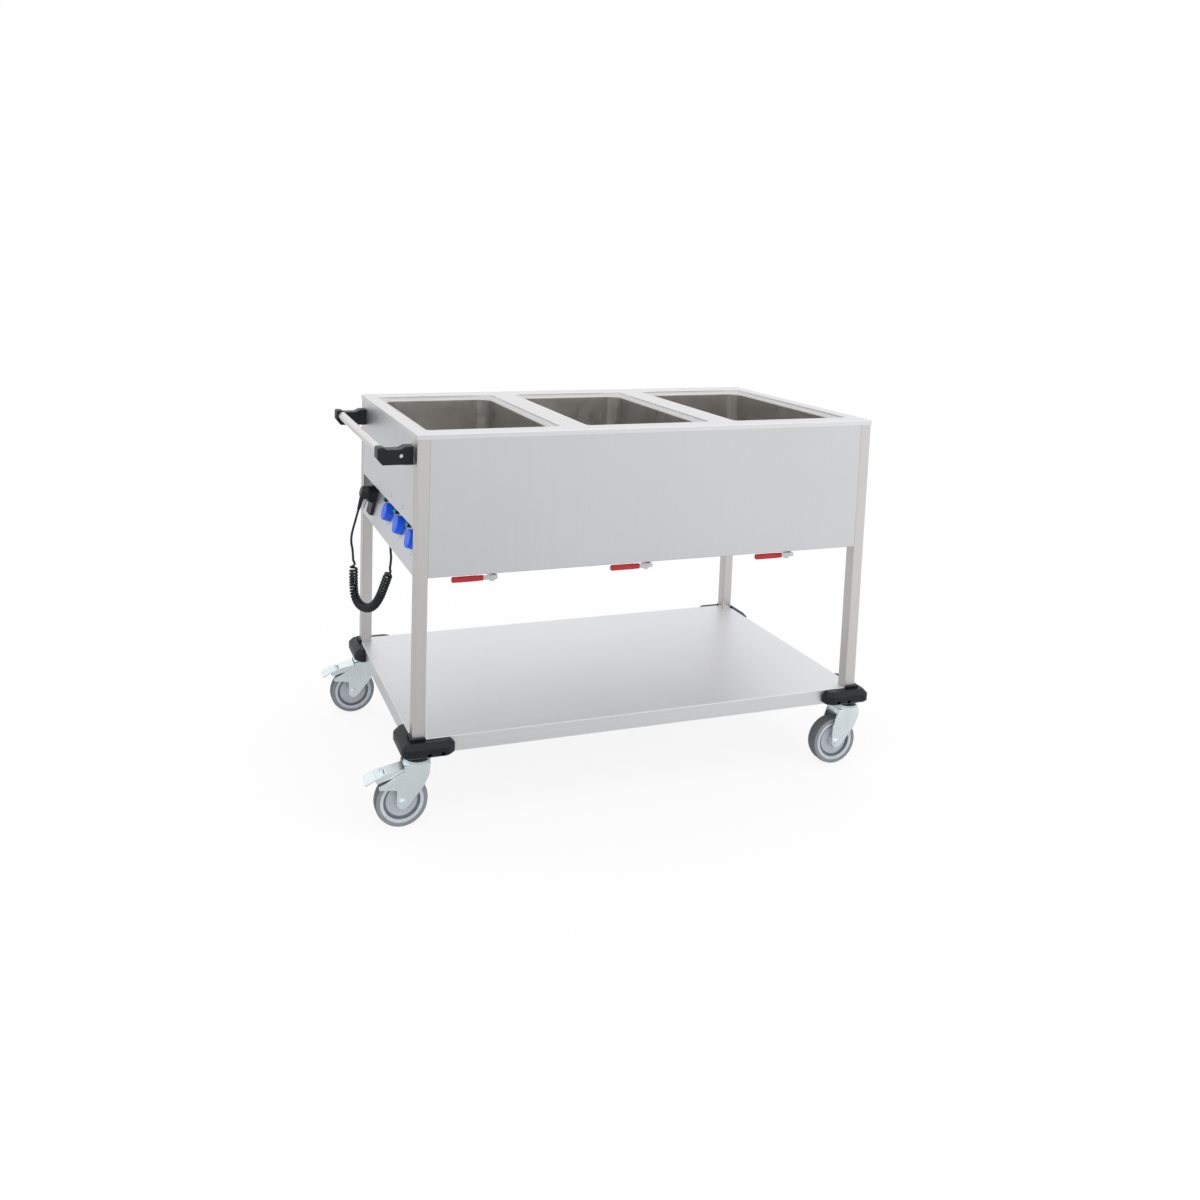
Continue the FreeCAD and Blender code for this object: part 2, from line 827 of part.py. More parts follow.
def plug_holder():
    """Parking socket on the fascia: a rounded plate with a round cup for the plug."""
    item = new_body("plug_holder")
    plate = sketch(item, "YZ_Plane")
    rectangle(plate, "holder_width / 2", "holder_height / 2", "0", "holder_rise - plug_rise")
    pad(item, plate, "holder_thickness", back=True)
    fillet(item, lambda edge: straight(edge, 0), "holder_corner")
    cup = sketch(item, "YZ_Plane")
    circle(cup, "0", "0", "cup_radius")
    pad(item, cup, "holder_thickness + cup_length", back=True)
    mouth = sketch(item, "YZ_Plane", "-holder_thickness")
    circle(mouth, "0", "0", "plug_radius + plug_gap")
    pocket(item, mouth, "cup_length", back=False)
    pins = sketch(item, "YZ_Plane", "-holder_thickness")
    for sign in (-1, 1):
        circle(pins, f"{sign} * pin_spacing / 2", "0", "pin_radius + running_fit")
    pocket(item, pins, "pin_length", back=True)
    node(place_on_fascia(item, "holder_y", "plug_rise"))


def mains_plug():
    """Angled plug: round body, two pins, and a tapered relief that points down the slope."""
    body_end = "-(holder_thickness + plug_length)"
    points = [
        ("-holder_thickness", "0"),
        ("-holder_thickness", "plug_radius"),
        ("-(holder_thickness + plug_length * 0.55)", "plug_radius"),
        (f"{body_end} + plug_edge", "plug_radius * 0.82"),
        (body_end, "plug_radius * 0.62"),
        (body_end, "0"),
    ]
    pieces = [turned("plug_body", "XZ_Plane", "H_Axis", points)]
    for sign in (-1, 1):
        pin = rod("plug_pin", "pin_radius", "pin_length", V(-1, 0, 0))
        pieces.append(shift(pin, "pin_length - holder_thickness", f"{sign} * pin_spacing / 2"))
    relief = doc.addObject("Part::Cone", "plug_relief")
    bind(relief, "Radius1", "cord_diameter / 2 + relief_wall")
    bind(relief, "Radius2", "relief_thick")
    bind(relief, "Height", "relief_end - relief_start + plug_radius / 3")
    shift(relief, "-relief_out", "0", "-relief_end")
    pieces.append(relief)
    node(place_on_fascia(joined("plug", pieces), "holder_y", "plug_rise"), "plug")


def cable_gland():
    """Domed gland under the base tray, threaded through it."""
    half_nut = "gland_length * 0.6"
    points = [
        ("0", "-gland_length"),
        ("gland_radius * 0.55", "-gland_length"),
        ("gland_radius * 0.9", f"-{half_nut}"),
        ("gland_radius", f"-{half_nut}"),
        ("gland_radius", "0"),
        ("gland_thread", "0"),
        ("gland_thread", "4 * sheet_wall"),
        ("0", "4 * sheet_wall"),
    ]
    item = turned("cable_gland", "XZ_Plane", "V_Axis", points)
    node(place(item, "gland_x", "gland_y", TRAY_UNDER))


def handle():
    """Round grip tube held in two moulded brackets on the left end panel."""
    reach = f"({FACE_X} + handle_reach)"
    tube = new_body("handle_tube")
    ring = sketch(tube, "XZ_Plane")
    circle(ring, "0", "0", "handle_radius")
    circle(ring, "0", "0", "handle_radius - handle_wall")
    pad(tube, ring, "2 * (handle_inner_y + socket_depth - panel_gap)", both=True)
    node(place(tube, f"-{reach}", "0", "handle_z + handle_rise"))
    screws = []
    for end, sign in ENDS.items():
        bracket(end, sign)
        screws.append(bracket_screw(end, sign))
    group("handle_screws", screws)


def bracket(end, sign):
    """Arm that is tall at the panel, necked, and thick again round the tube."""
    item = new_body(f"handle_bracket_{end}")
    side = sketch(item, "XZ_Plane")
    tall, neck, tip, end_height = "bracket_half_height", "bracket_neck", "bracket_length", "bracket_end"
    points = [
        ("0", f"-{tall}"),
        ("0", tall),
        ("-bracket_root", tall),
        ("-bracket_waist", neck),
        (f"-({tip} - bracket_head)", neck),
        (f"-({tip} - bracket_head + bracket_taper)", end_height),
        (f"-{tip}", end_height),
        (f"-{tip}", "-bracket_lip"),
        (f"-({tip} - bracket_chin)", f"-{end_height}"),
        ("-bracket_waist", f"-{end_height}"),
        ("-bracket_root", f"-{tall}"),
    ]
    outline(side, points)
    pad(item, side, "bracket_width", both=True)

    def moulded_corner(edge):
        return straight(edge, 1) and not near(edge.CenterOfMass.x, 0)

    fillet(item, moulded_corner, "bracket_round")
    half = number("bracket_width / 2")

    def outer_rim(edge):
        box = edge.BoundBox
        return near(box.YMin, sign * half) and near(box.YMax, sign * half) and not near(box.XMin, 0)

    fillet(item, outer_rim, "bracket_round / 2")
    socket = sketch(item, "XZ_Plane", f"{sign} * bracket_width / 2")
    circle(socket, "-handle_reach", "handle_rise", "handle_radius + running_fit")
    pocket(item, socket, "socket_depth", back=sign < 0)
    sink = sketch(item, "XZ_Plane", f"-{sign} * bracket_width / 2")
    circle(sink, "-screw_out", "0", "screw_head + running_fit")
    pocket(item, sink, "screw_head + screw_sink", back=sign > 0)
    bore = sketch(item, "XZ_Plane", f"-{sign} * bracket_width / 2")
    circle(bore, "-screw_out", "0", "screw_radius + running_fit")
    pocket(item, bore, "screw_length + screw_sink", back=sign > 0)
    node(place(item, f"-{FACE_X}", f"{sign} * (handle_inner_y + bracket_width / 2)", "handle_z"))


def bracket_screw(end, sign):
    """Cap screw sunk in the bracket's outer side."""
    head = rod(f"screw_head_{end}", "screw_head", "screw_head", V(0, -sign, 0))
    shank = rod(f"screw_shank_{end}", "screw_radius", "screw_length", V(0, -sign, 0))
    piece = joined(f"handle_screw_{end}", [head, shank])
    out_y = f"{sign} * (handle_inner_y + bracket_width - screw_sink)"
    return place(piece, f"-({FACE_X} + screw_out)", out_y, "handle_z")


def shelf():
    """Flat shelf with its edges folded down, notched round the four legs."""
    item = new_body("shelf")
    plate = sketch(item, "XY_Plane", "castor_height")
    notch = "(leg_width + weld_gap)"
    notched_rectangle(plate, FACE_X, FACE_Y, notch)
    pad(item, plate, "shelf_fold")
    hollow = sketch(item, "XY_Plane", "castor_height")
    notched_rectangle(hollow, f"({FACE_X} - sheet_wall)", f"({FACE_Y} - sheet_wall)", notch)
    pocket(item, hollow, "shelf_fold - sheet_wall", back=True)
    top = number("castor_height + shelf_fold")
    bend_x, bend_y = number(FACE_X), number(FACE_Y)

    def folded_edge(edge):
        middle = edge.CenterOfMass
        on_face = near(abs(middle.x), bend_x) or near(abs(middle.y), bend_y)
        return near(edge.BoundBox.ZMin, top) and on_face

    fillet(item, folded_edge, "panel_bend")
    node(place(item))


def bumper(name, x_sign, y_sign):
    """L-shaped guard round the shelf's corner, sloping at its top, with a collar at the leg."""
    item = new_body(f"bumper_{name}")
    arm, thick, end = "bumper_arm", "bumper_thickness", "bumper_end"
    half = [(f"-{arm}", "0"), (f"-{arm}", end), (f"-({arm} - bumper_bevel)", thick)]
    points = half + [(thick, thick)] + [(y, x) for x, y in reversed(half)] + [("0", "0")]
    flip = [(f"{x_sign} * ({x})", f"{y_sign} * ({y})") for x, y in points]
    plan = sketch(item, "XY_Plane", "castor_height + bumper_lift")
    outline(plan, flip)
    pad(item, plan, "bumper_height")
    limit = number("bumper_end / 2")

    def outer_corner(edge):
        middle = edge.CenterOfMass
        return straight(edge, 2) and max(x_sign * middle.x, y_sign * middle.y) > limit

    fillet(item, outer_corner, "bumper_round")
    bottom = number("castor_height + bumper_lift")

    def outer_rim(height):
        def picked(edge):
            middle = edge.CenterOfMass
            outside = x_sign * middle.x > limit or y_sign * middle.y > limit
            return near(edge.BoundBox.ZMin, height) and near(edge.BoundBox.ZMax, height) and outside

        return picked

    chamfer(item, outer_rim(bottom + number("bumper_height")), "bumper_slope")
    chamfer(item, outer_rim(bottom), "bumper_foot")
    wrap, rim = "leg_width", "collar_thickness"
    side = [(f"-{wrap}", "0"), (f"-{wrap}", rim)]
    collar = side + [(rim, rim)] + [(y, x) for x, y in reversed(side)] + [("0", "0")]
    ring = sketch(item, "XY_Plane", "castor_height + bumper_lift")
    outline(ring, [(f"{x_sign} * ({x})", f"{y_sign} * ({y})") for x, y in collar])
    pad(item, ring, "collar_height")
    holes = sketch(item, "XZ_Plane", f"-{y_sign} * bumper_thickness")
    hole_level = "castor_height + bumper_lift + 1.4 * bumper_hole"
    for distance in ("bumper_arm * 0.35", "bumper_arm * 0.67"):
        circle(holes, f"-{x_sign} * {distance}", hole_level, "bumper_hole")
    pocket(item, holes, "bumper_thickness / 2", back=y_sign > 0)
    return place(item, f"{x_sign} * {FACE_X}", f"{y_sign} * {FACE_Y}")


def castor_head(name, x_sign, y_sign):
    """Upper race, kingpin and the square plug that holds the castor in its leg."""
    race = "castor_height - race_drop"
    under = f"{race} - swivel_gap - crown_thickness - fork_plate"
    pin_top = f"{under} - swivel_gap"
    pin_low = f"{under} - swivel_gap - fork_plate"
    points = [
        ("0", pin_low),
        ("kingpin_head", pin_low),
        ("kingpin_head", pin_top),
        ("kingpin_radius", pin_top),
        ("kingpin_radius", race),
        ("race_radius", race),
        ("race_radius", f"{race} + race_edge"),
        ("head_radius", "castor_height - head_edge"),
        ("head_radius", "castor_height"),
        ("0", "castor_height"),
    ]
    item = turned(f"castor_head_{name}", "XZ_Plane", "V_Axis", points)
    plug = sketch(item, "XY_Plane", "castor_height")
    rectangle(plug, "leg_width / 2 - leg_wall - running_fit", "leg_width / 2 - leg_wall - running_fit")
    pad(item, plug, "plug_in_leg")
    return place(item, f"{x_sign} * {LEG_X}", f"{y_sign} * {LEG_Y}")


def castor_fork(name, x_sign, y_sign, braked):
    """Two side plates under a round crown, and an axle bolt; a braked fork has a horn and a pivot pin."""
    item = new_body(f"fork_{name}")
    web_top = "(castor_height - race_drop - swivel_gap - crown_thickness)"
    axle, hub = "wheel_radius", "castor_trail"
    side = sketch(item, "XZ_Plane")
    points = [
        ("fork_front", web_top),
        ("fork_front - fork_lean", f"{web_top} - fork_shoulder"),
        ("fork_front - fork_taper", f"{web_top} - fork_waist"),
        (f"lug_radius - {hub}", f"{axle} - lug_radius / 2"),
        (f"lug_radius / 3 - {hub}", f"{axle} - lug_radius"),
        (f"-lug_radius / 3 - {hub}", f"{axle} - lug_radius"),
        (f"-lug_radius - {hub}", f"{axle} - lug_radius / 3"),
    ]
    if braked:
        points += [
            (f"-lug_radius - {hub}", f"{axle} + horn_root"),
            ("-horn_reach + 2 * lug_radius", f"{axle} + horn_rise - lug_radius / 4"),
            ("-horn_reach", f"{axle} + horn_rise"),
            ("-horn_reach", f"{axle} + horn_rise + horn_tip"),
            ("-fork_back", f"{web_top} - horn_drop"),
        ]
    else:
        points.append((f"-lug_radius - {hub}", f"{axle} + fork_heel"))
    outline(side, points + [("-fork_back", web_top)])
    outer = "2 * (fork_half + fork_plate)"
    pad(item, side, outer, both=True)
    long_side, high = number("fork_half + fork_plate"), number(web_top)
    fillet(item, lambda edge: straight(edge, 1) and not near(edge.CenterOfMass.z, high), "lug_radius / 4")

    def shoulder(edge):
        middle = edge.CenterOfMass
        return straight(edge, 0) and near(abs(middle.y), long_side) and near(middle.z, high)

    fillet(item, shoulder, "fork_plate")
    gap = sketch(item, "XZ_Plane")
    rectangle(gap, "horn_reach + fork_front", f"{web_top} / 2", "0", f"{web_top} / 2 - fork_plate")
    pocket(item, gap, "2 * fork_half", both=True)
    crown = sketch(item, "XY_Plane", f"{web_top} - fork_plate")
    circle(crown, "0", "0", "crown_radius")
    pad(item, crown, "crown_thickness + fork_plate")
    bore = sketch(item, "XY_Plane", f"{web_top} + crown_thickness")
    circle(bore, "0", "0", "kingpin_radius + running_fit")
    pocket(item, bore, "crown_thickness + fork_plate")
    eye = sketch(item, "XZ_Plane")
    circle(eye, f"-{hub}", axle, "axle_radius + running_fit")
    pocket(item, eye, outer, both=True)
    if braked:
        pin = sketch(item, "XZ_Plane")
        circle(pin, "-pivot_back", "castor_height - pivot_drop", "pivot_radius")
        pad(item, pin, outer, both=True)
    at = (f"{x_sign} * {LEG_X}", f"{y_sign} * {LEG_Y}")
    place(item, *at)
    bolt = axle_bolt(name)
    place(bolt, f"{at[0]} - {hub}", at[1], axle)
    group(f"castor_fork_{name}", [item, bolt])


def axle_bolt(name):
    """Bolt through the fork's lugs with a head and a nut."""
    seat = "(fork_half + fork_plate)"
    end = f"({seat} + nut_length)"
    half = [("0", end), ("nut_radius", end), ("nut_radius", seat), ("axle_radius", seat)]
    points = half + [(x, f"-{y}") for x, y in reversed(half)]
    return turned(f"axle_bolt_{name}", "XY_Plane", "V_Axis", points)


def castor_wheel(name, x_sign, y_sign):
    """Moulded wheel centre with a ring groove, and the tyre round its rim."""
    hub_half = "(fork_half - hub_gap)"
    half = [
        ("axle_radius + running_fit", hub_half),
        ("wheel_hub", hub_half),
        ("wheel_hub + wheel_draft", "web_half + 2 * wheel_draft"),
        ("groove_inner - wheel_draft", "web_half"),
        ("groove_inner", "groove_half"),
        ("groove_outer", "groove_half"),
        ("groove_outer + wheel_draft", "rim_half"),
        ("rim_radius", "rim_half"),
    ]
    points = half + [(x, f"-{y}") for x, y in reversed(half)]
    centre = turned(f"castor_wheel_{name}", "XY_Plane", "V_Axis", points)
    crown = "(wheel_radius - rim_radius)"
    arc = [
        ("rim_radius", "tyre_half - tyre_ease"),
        (f"rim_radius + {crown} * 0.35", "tyre_half"),
        (f"rim_radius + {crown} * 0.8", "tyre_half - 1.5 * tyre_ease"),
        ("wheel_radius", "tread_half"),
    ]
    band = arc + [(x, f"-({y})") for x, y in reversed(arc)]
    tyre = turned(f"castor_tyre_{name}", "XY_Plane", "V_Axis", band)
    for item in (centre, tyre):
        node(place(item, f"{x_sign} * {LEG_X} - castor_trail", f"{y_sign} * {LEG_Y}", "wheel_radius"))


def brake_pedal(name, x_sign, y_sign):
    """Channel pedal over the tyre on the fork's pin, with a wide tread and a rolled eye."""
    item = new_body(name)
    tip, tread, sheet_inner = "(pedal_reach - pivot_back)", "tread_width / 2", "(pedal_top - pedal_sheet)"
    hull = [
        ("pedal_nose", "-pedal_deep"),
        ("pedal_nose", sheet_inner),
        ("pedal_nose - 2 * pedal_sheet", "pedal_top"),
        ("-pedal_flat", "pedal_top"),
        ("-pedal_run", "-pedal_fall"),
        ("-(pedal_run + 2 * pedal_sheet)", "-2 * pedal_fall"),
        ("-(pedal_run - pedal_sheet)", "-pedal_skirt"),
        ("-pedal_waist", "-2 * pedal_fall"),
    ]
    side = sketch(item, "XZ_Plane")
    outline(side, hull)
    pad(item, side, "2 * pedal_half", both=True)
    gap = [
        ("pedal_nose + pedal_sheet", "-pedal_deep - pedal_sheet"),
        ("pedal_nose + pedal_sheet", "-pedal_fall"),
        ("pedal_nose - pedal_sheet", sheet_inner),
        ("-pedal_flat", sheet_inner),
        ("-(pedal_run - pedal_sheet / 2)", "-(pedal_fall + pedal_sheet)"),
        ("-(pedal_run + 4 * pedal_sheet)", "-(pedal_skirt + 2 * pedal_sheet)"),
        ("-pedal_waist", "-(pedal_skirt + 4 * pedal_sheet)"),
    ]
    inside = sketch(item, "XZ_Plane")
    outline(inside, gap)
    pocket(item, inside, "2 * (pedal_half - pedal_wall)", both=True)
    shoe = sketch(item, "XZ_Plane")
    block_points = [
        ("-shoe_far", "-pedal_sheet / 2"),
        ("-shoe_far", "-pedal_deep"),
        ("-(shoe_far - shoe_toe)", "-(pedal_deep - pedal_sheet / 2)"),
        ("-shoe_near", "-pedal_sheet"),
        ("-shoe_near", "pedal_top / 2"),
    ]
    outline(shoe, block_points)
    pad(item, shoe, "2 * pedal_half - pedal_wall", both=True)
    plate = sketch(item, "XZ_Plane")
    step = [
        ("-tread_start", "-tread_fall"),
        (f"-({tip} - tread_flare)", "-pedal_deep"),
        (f"-{tip}", "-tread_drop"),
    ]
    under = [
        (f"-({tip} - tread_sheet / 3)", "-(tread_drop + tread_sheet)"),
        (f"-({tip} - tread_flare + tread_sheet / 3)", "-(pedal_deep + tread_sheet)"),
        ("-tread_start", "-(tread_fall + tread_sheet)"),
    ]
    outline(plate, step + under)
    pad(item, plate, "tread_width", both=True)
    width, far = number(tread), -number(f"{tip} - tread_sheet")

    def tip_corner(edge):
        return near(abs(edge.CenterOfMass.y), width) and edge.CenterOfMass.x < far

    fillet(item, tip_corner, "tread_width / 5")
    bolt = sketch(item, "XY_Plane", "-bolt_height / 2")
    circle(bolt, "-pedal_bolt", "0", "bolt_radius")
    pad(item, bolt, "bolt_height")
    eye = sketch(item, "XZ_Plane")
    circle(eye, "0", "0", "pivot_radius + running_fit")
    pocket(item, eye, "2 * pedal_half", both=True)
    at_x = f"{x_sign} * {LEG_X} - pivot_back"
    node(place(item, at_x, f"{y_sign} * {LEG_Y}", "castor_height - pivot_drop"))


def rounded_route(points, bends):
    """Straight runs joined by tangent arcs, as a wire; bends holds a radius for each inner point."""
    edges = []
    start = points[0]
    for before, corner, after, radius in zip(points, points[1:], points[2:], bends):
        into, out = (corner - before).normalize(), (after - corner).normalize()
        half_turn = into.getAngle(out) / 2
        reach = radius * math.tan(half_turn)
        begin, end = corner - into * reach, corner + out * reach
        bisector = (out - into).normalize()
        middle = corner + bisector * (radius / math.cos(half_turn) - radius)
        edges.append(Part.LineSegment(start, begin).toShape())
        edges.append(Part.Arc(begin, middle, end).toShape())
        start = end
    edges.append(Part.LineSegment(start, points[-1]).toShape())
    return Part.Wire(edges)


def swept_tube(path, radius, bore=0):
    """Tube along a wire: a round section in pipe-shell sweep, less its bore."""
    start = path.OrderedEdges[0]
    origin, along = start.valueAt(start.FirstParameter), start.tangentAt(start.FirstParameter)
    shapes = []
    for size in [radius, bore] if bore else [radius]:
        ring = Part.Wire([Part.makeCircle(size, origin, along)])
        shapes.append(path.makePipeShell([ring], True, False))
    return shapes[0].cut(shapes[1]) if bore else shapes[0]


def shaped(label, shape):
    item = doc.addObject("Part::Feature", label)
    item.Label = label
    item.Shape = shape
    return item


def heating_elements():
    """Bent tubular element pressed up under each well."""
    radius, pitch, reach = number("heater_radius"), number("heater_pitch"), number("heater_reach")
    rows = [(row - 1.5) * pitch for row in range(4)]
    points = []
    for row, x in enumerate(rows):
        ends = [-reach, reach] if row % 2 == 0 else [reach, -reach]
        points += [V(x, y, 0) for y in ends]
    path = rounded_route(points, [pitch * 0.49] * (len(points) - 2))
    shape = swept_tube(path, radius)
    pieces = []
    for index, x in each_well():
        piece = shaped(f"heating_element_{index}", shape)
        pieces.append(place(piece, x, "0", f"{WELL_UNDER} - heater_radius - heater_gap"))
    group("heating_elements", pieces)


def drain_pipes():
    """Bent pipe from each well's drain hole forward and down into its valve."""
    top, low = number(WELL_UNDER), number(f"{VALVE_Z} + valve_rise")
    back, front = number(DRAIN_Y), number("valve_y")
    third = (top - low) / 3
    points = [V(0, back, top), V(0, back, top - third), V(0, front, low + third), V(0, front, low)]
    path = rounded_route(points, [number("drain_bend")] * 2)
    shape = swept_tube(path, number("drain_radius"), number("drain_bore"))
    pieces = [place(shaped(f"drain_pipe_{index}", shape), x) for index, x in each_well()]
    group("drain_pipes", pieces)


def drain_valve(index, x):
    """Valve body: socket for the pipe, ball chamber, nozzle, and a boss for the stem."""
    chamber, boss_start = "(ball_radius + ball_gap)", "(ball_radius + ball_gap + valve_edge / 2)"
    points = [
        ("ball_bore", "-valve_rise"),
        ("nozzle_radius", "-valve_rise"),
        ("nozzle_radius", "-valve_radius + valve_edge"),
        ("valve_radius - valve_edge", "-valve_radius + 1.5 * valve_edge"),
        ("valve_radius", "-valve_radius + 2 * valve_edge"),
        ("valve_radius", "valve_rise"),
        ("ball_bore", "valve_rise"),
        ("ball_bore", chamber),
        (chamber, chamber),
        (chamber, f"-{chamber}"),
        ("ball_bore", f"-{chamber}"),
    ]
    shell = turned(f"valve_shell_{index}", "XZ_Plane", "V_Axis", points)
    boss = rod("valve_boss", "boss_radius", f"boss_length - {boss_start}", V(0, -1, 0))
    shift(boss, "0", f"-{boss_start}")
    stem = rod("valve_stem_bore", "stem_radius + running_fit", "boss_length", V(0, -1, 0))
    item = cut(f"drain_valve_{index}", joined("valve_block", [shell, boss]), stem)
    return place(item, x, "valve_y", VALVE_Z)


def drain_lever(index, x):
    """Lever with its red grip, and the bored ball on its stem."""
    plate = new_body(f"lever_plate_{index}")
    side = sketch(plate, "XZ_Plane", "stem_length")
    half = "lever_height / 2"
    tip = [("-lever_length", f"-{half}"), ("-lever_length", half)]
    outline(side, tip + [("lever_height * 0.6", half), ("lever_height * 0.6", f"-{half}")])
    pad(plate, side, "lever_thickness", back=True)
    fillet(plate, lambda edge: straight(edge, 1), "lever_height / 3")
    eye = sketch(plate, "XZ_Plane", "stem_length")
    circle(eye, "0", "0", "stem_radius + running_fit")
    pocket(plate, eye, "lever_thickness")
    grip = new_body(f"lever_grip_{index}")
    sleeve = sketch(grip, "XZ_Plane", "stem_length - lever_thickness / 2 - grip_thickness / 2")
    rectangle(sleeve, "(grip_end - grip_start) / 2", "grip_height / 2", "-(grip_start + grip_end) / 2")
    pad(grip, sleeve, "grip_thickness")
    fillet(grip, lambda edge: straight(edge, 1), "grip_height / 3")
    fillet(grip, lambda edge: not straight(edge, 1), "grip_thickness / 5")
    slot = sketch(grip, "YZ_Plane", "-grip_start")
    rectangle(slot, "lever_thickness / 2", half, "lever_thickness / 2 - stem_length")
    pocket(grip, slot, "lever_length - grip_start")
    for piece in (plate, grip):
        place(piece, x, "valve_y", VALVE_Z)
    group(f"drain_lever_{index}", [plate, grip])
    sphere = doc.addObject("Part::Sphere", f"ball_sphere_{index}")
    bind(sphere, "Radius", "ball_radius")
    stem = rod(f"ball_stem_{index}", "stem_radius", "stem_length", V(0, -1, 0))
    bore = shift(rod("ball_hole", "ball_bore", "2 * ball_radius", V(1, 0, 0)), "-ball_radius")
    ball = cut(f"drain_ball_{index}", joined(f"ball_block_{index}", [sphere, stem]), bore)
    node(place(ball, x, "valve_y", VALVE_Z), f"drain_ball_{index}")


# Where the lead hangs, seen along its plane: distance back from the trolley's middle, and height
HANG_START = (-634.0, 200.0)
HANG_END = (-576.0, 32.3)
COIL_AXIS = [(216.5, 490.0), (212.6, 467.0), (210.0, 353.0), (105.0, 362.0), (34.0, 493.0), (30.5, 517.0)]
LEAD_UP = [(30.5, 517.0), (28.3, 532.0), (32.3, 549.0)]
LEAD_DOWN = [V(-644.5, 210.5, 550.0), V(-645.0, 217.0, 522.0)]
LEAD_JOIN = (219.0, 504.8)
LEAD_DROP = 38.0


def hanging(y, z):
    """Point of the upright plane in which the lead hangs."""
    share = (y - HANG_START[1]) / (HANG_END[1] - HANG_START[1])
    return V(HANG_START[0] + share * (HANG_END[0] - HANG_START[0]), y, z)


def large_bends(points):
    """Arc radii of a lead: as large as the two runs beside each point allow."""
    radii = []
    for before, corner, after in zip(points, points[1:], points[2:]):
        half_turn = (corner - before).getAngle(after - corner) / 2
        shorter = min((corner - before).Length, (after - corner).Length)
        radii.append(0.45 * shorter / math.tan(half_turn))
    return radii


def lead(label, points):
    """Plain stretch of the lead."""
    radii = large_bends(points)
    path = rounded_route(points, radii)
    radius = number("cord_diameter / 2")
    shape = swept_tube(path, radius)
    plain = math.pi * radius ** 2 * path.Length
    print(f"{label}: length {path.Length:.1f}, radii {[round(r) for r in radii]}")
    print(f"{label}: volume ratio {shape.Volume / plain:.4f}")
    node(place(shaped(label, shape)))


def coil_points(path, curl, turns, steps):
    """Points and directions of the curls round a hanging path, drawn in to its line at both ends."""
    length = path.Length
    edges = path.OrderedEdges
    flat = V(HANG_END[1] - HANG_START[1], HANG_START[0] - HANG_END[0], 0).normalize()
    straight_end = number("cord_diameter")
    run = length - 2 * straight_end
    ease = 1.5

    def along(distance):
        rest = min(max(distance, 0.0), length)
        for edge in edges:
            if rest <= edge.Length or edge is edges[-1]:
                parameter = edge.getParameterByLength(min(rest, edge.Length))
                return edge.valueAt(parameter), edge.tangentAt(parameter)
            rest -= edge.Length

    def curl_point(turn):
        lead_in = min(turn, turns - turn, ease) / ease
        share = lead_in * lead_in * (3 - 2 * lead_in)
        stretch = 2.5
        pitch = run / (turns + 2 * stretch)
        gone_in = min(turn, ease)
        gone_out = max(turn - (turns - ease), 0.0)
        slow_in = stretch * (2 * gone_in / ease - (gone_in / ease) ** 2)
        slow_out = stretch * (gone_out / ease) ** 2
        distance = straight_end + pitch * (turn + slow_in + slow_out)
        centre, tangent = along(distance)
        side = tangent.cross(flat)
        angle = 2 * math.pi * turn
        return centre + (flat * math.cos(angle) + side * math.sin(angle)) * (curl * share)

    step = 1.0 / steps
    small = step / 50
    points = [curl_point(count * step) for count in range(int(turns * steps) + 1)]
    directions = []
    for count in range(len(points)):
        turn = min(max(count * step, small), turns - small)
        directions.append((curl_point(turn + small) - curl_point(turn - small)).normalize())
    directions[0], directions[-1] = along(0)[1], along(length)[1]
    fine = [curl_point(count * step / 6) for count in range(int(turns * steps * 6) + 1)]
    return [along(0)[0]] + points + [along(length)[0]], directions, fine


def biarc(start, start_along, end, end_along):
    """Two tangent arcs from one point and direction to another."""
    gap = end - start
    both = start_along + end_along
    spread = 2 * (1 - start_along.dot(end_along))
    reach = gap.dot(both)
    if spread < 1e-9:
        size = gap.dot(gap) / (4 * gap.dot(end_along))
    else:
        size = (math.sqrt(reach * reach + spread * gap.dot(gap)) - reach) / spread
    first, second = start + start_along * size, end - end_along * size
    joint = (first + second) * 0.5
    return [bow(start, first, joint), bow(joint, second, end)]


def bow(start, corner, end):
    """Arc that leaves start towards corner and comes to end from it."""
    middle = (start + end) * 0.5
    half, rise = (end - start).Length / 2, (corner - middle).Length
    if rise < 1e-6 * half:
        return Part.LineSegment(start, end).toShape()
    sagitta = half * math.tan(math.atan(rise / half) / 2)
    return Part.Arc(start, middle + (corner - middle).normalize() * sagitta, end).toShape()


def least_self_gap(points, wire, per_turn):
    """Smallest distance between curls, less the lead's own thickness."""
    least = 1e9
    skip = per_turn // 2
    for index, point in enumerate(points):
        for other in points[index + skip:index + 3 * per_turn]:
            least = min(least, point.distanceToPoint(other))
    return least - wire


def cord_coil():
    """Curly stretch: one unbroken tube whose curls follow the hanging path."""
    points = [hanging(y, z) for y, z in COIL_AXIS]
    axis = rounded_route(points, large_bends(points))
    wire, turns, steps = number("cord_diameter"), number("curl_count"), 4
    stops, directions, fine = coil_points(axis, number("curl_radius"), turns, steps)
    edges = [Part.LineSegment(stops[0], stops[1]).toShape()]
    for index in range(len(directions) - 1):
        edges += biarc(stops[index + 1], directions[index], stops[index + 2], directions[index + 1])
    edges.append(Part.LineSegment(stops[-2], stops[-1]).toShape())
    path = Part.Wire(edges)
    shape = swept_tube(path, wire / 2)
    plain = math.pi * wire ** 2 / 4 * path.Length
    gap = least_self_gap(fine, wire, steps * 6)
    tightest = min(edge.Curve.Radius for edge in edges if edge.Curve.TypeId == "Part::GeomCircle")
    print(f"cord_coil: length {path.Length:.1f}, tightest {tightest:.2f}")
    print(f"cord_coil: volume ratio {shape.Volume / plain:.4f}, least gap between curls {gap:.2f}")
    node(place(shaped("cord_coil", shape)))


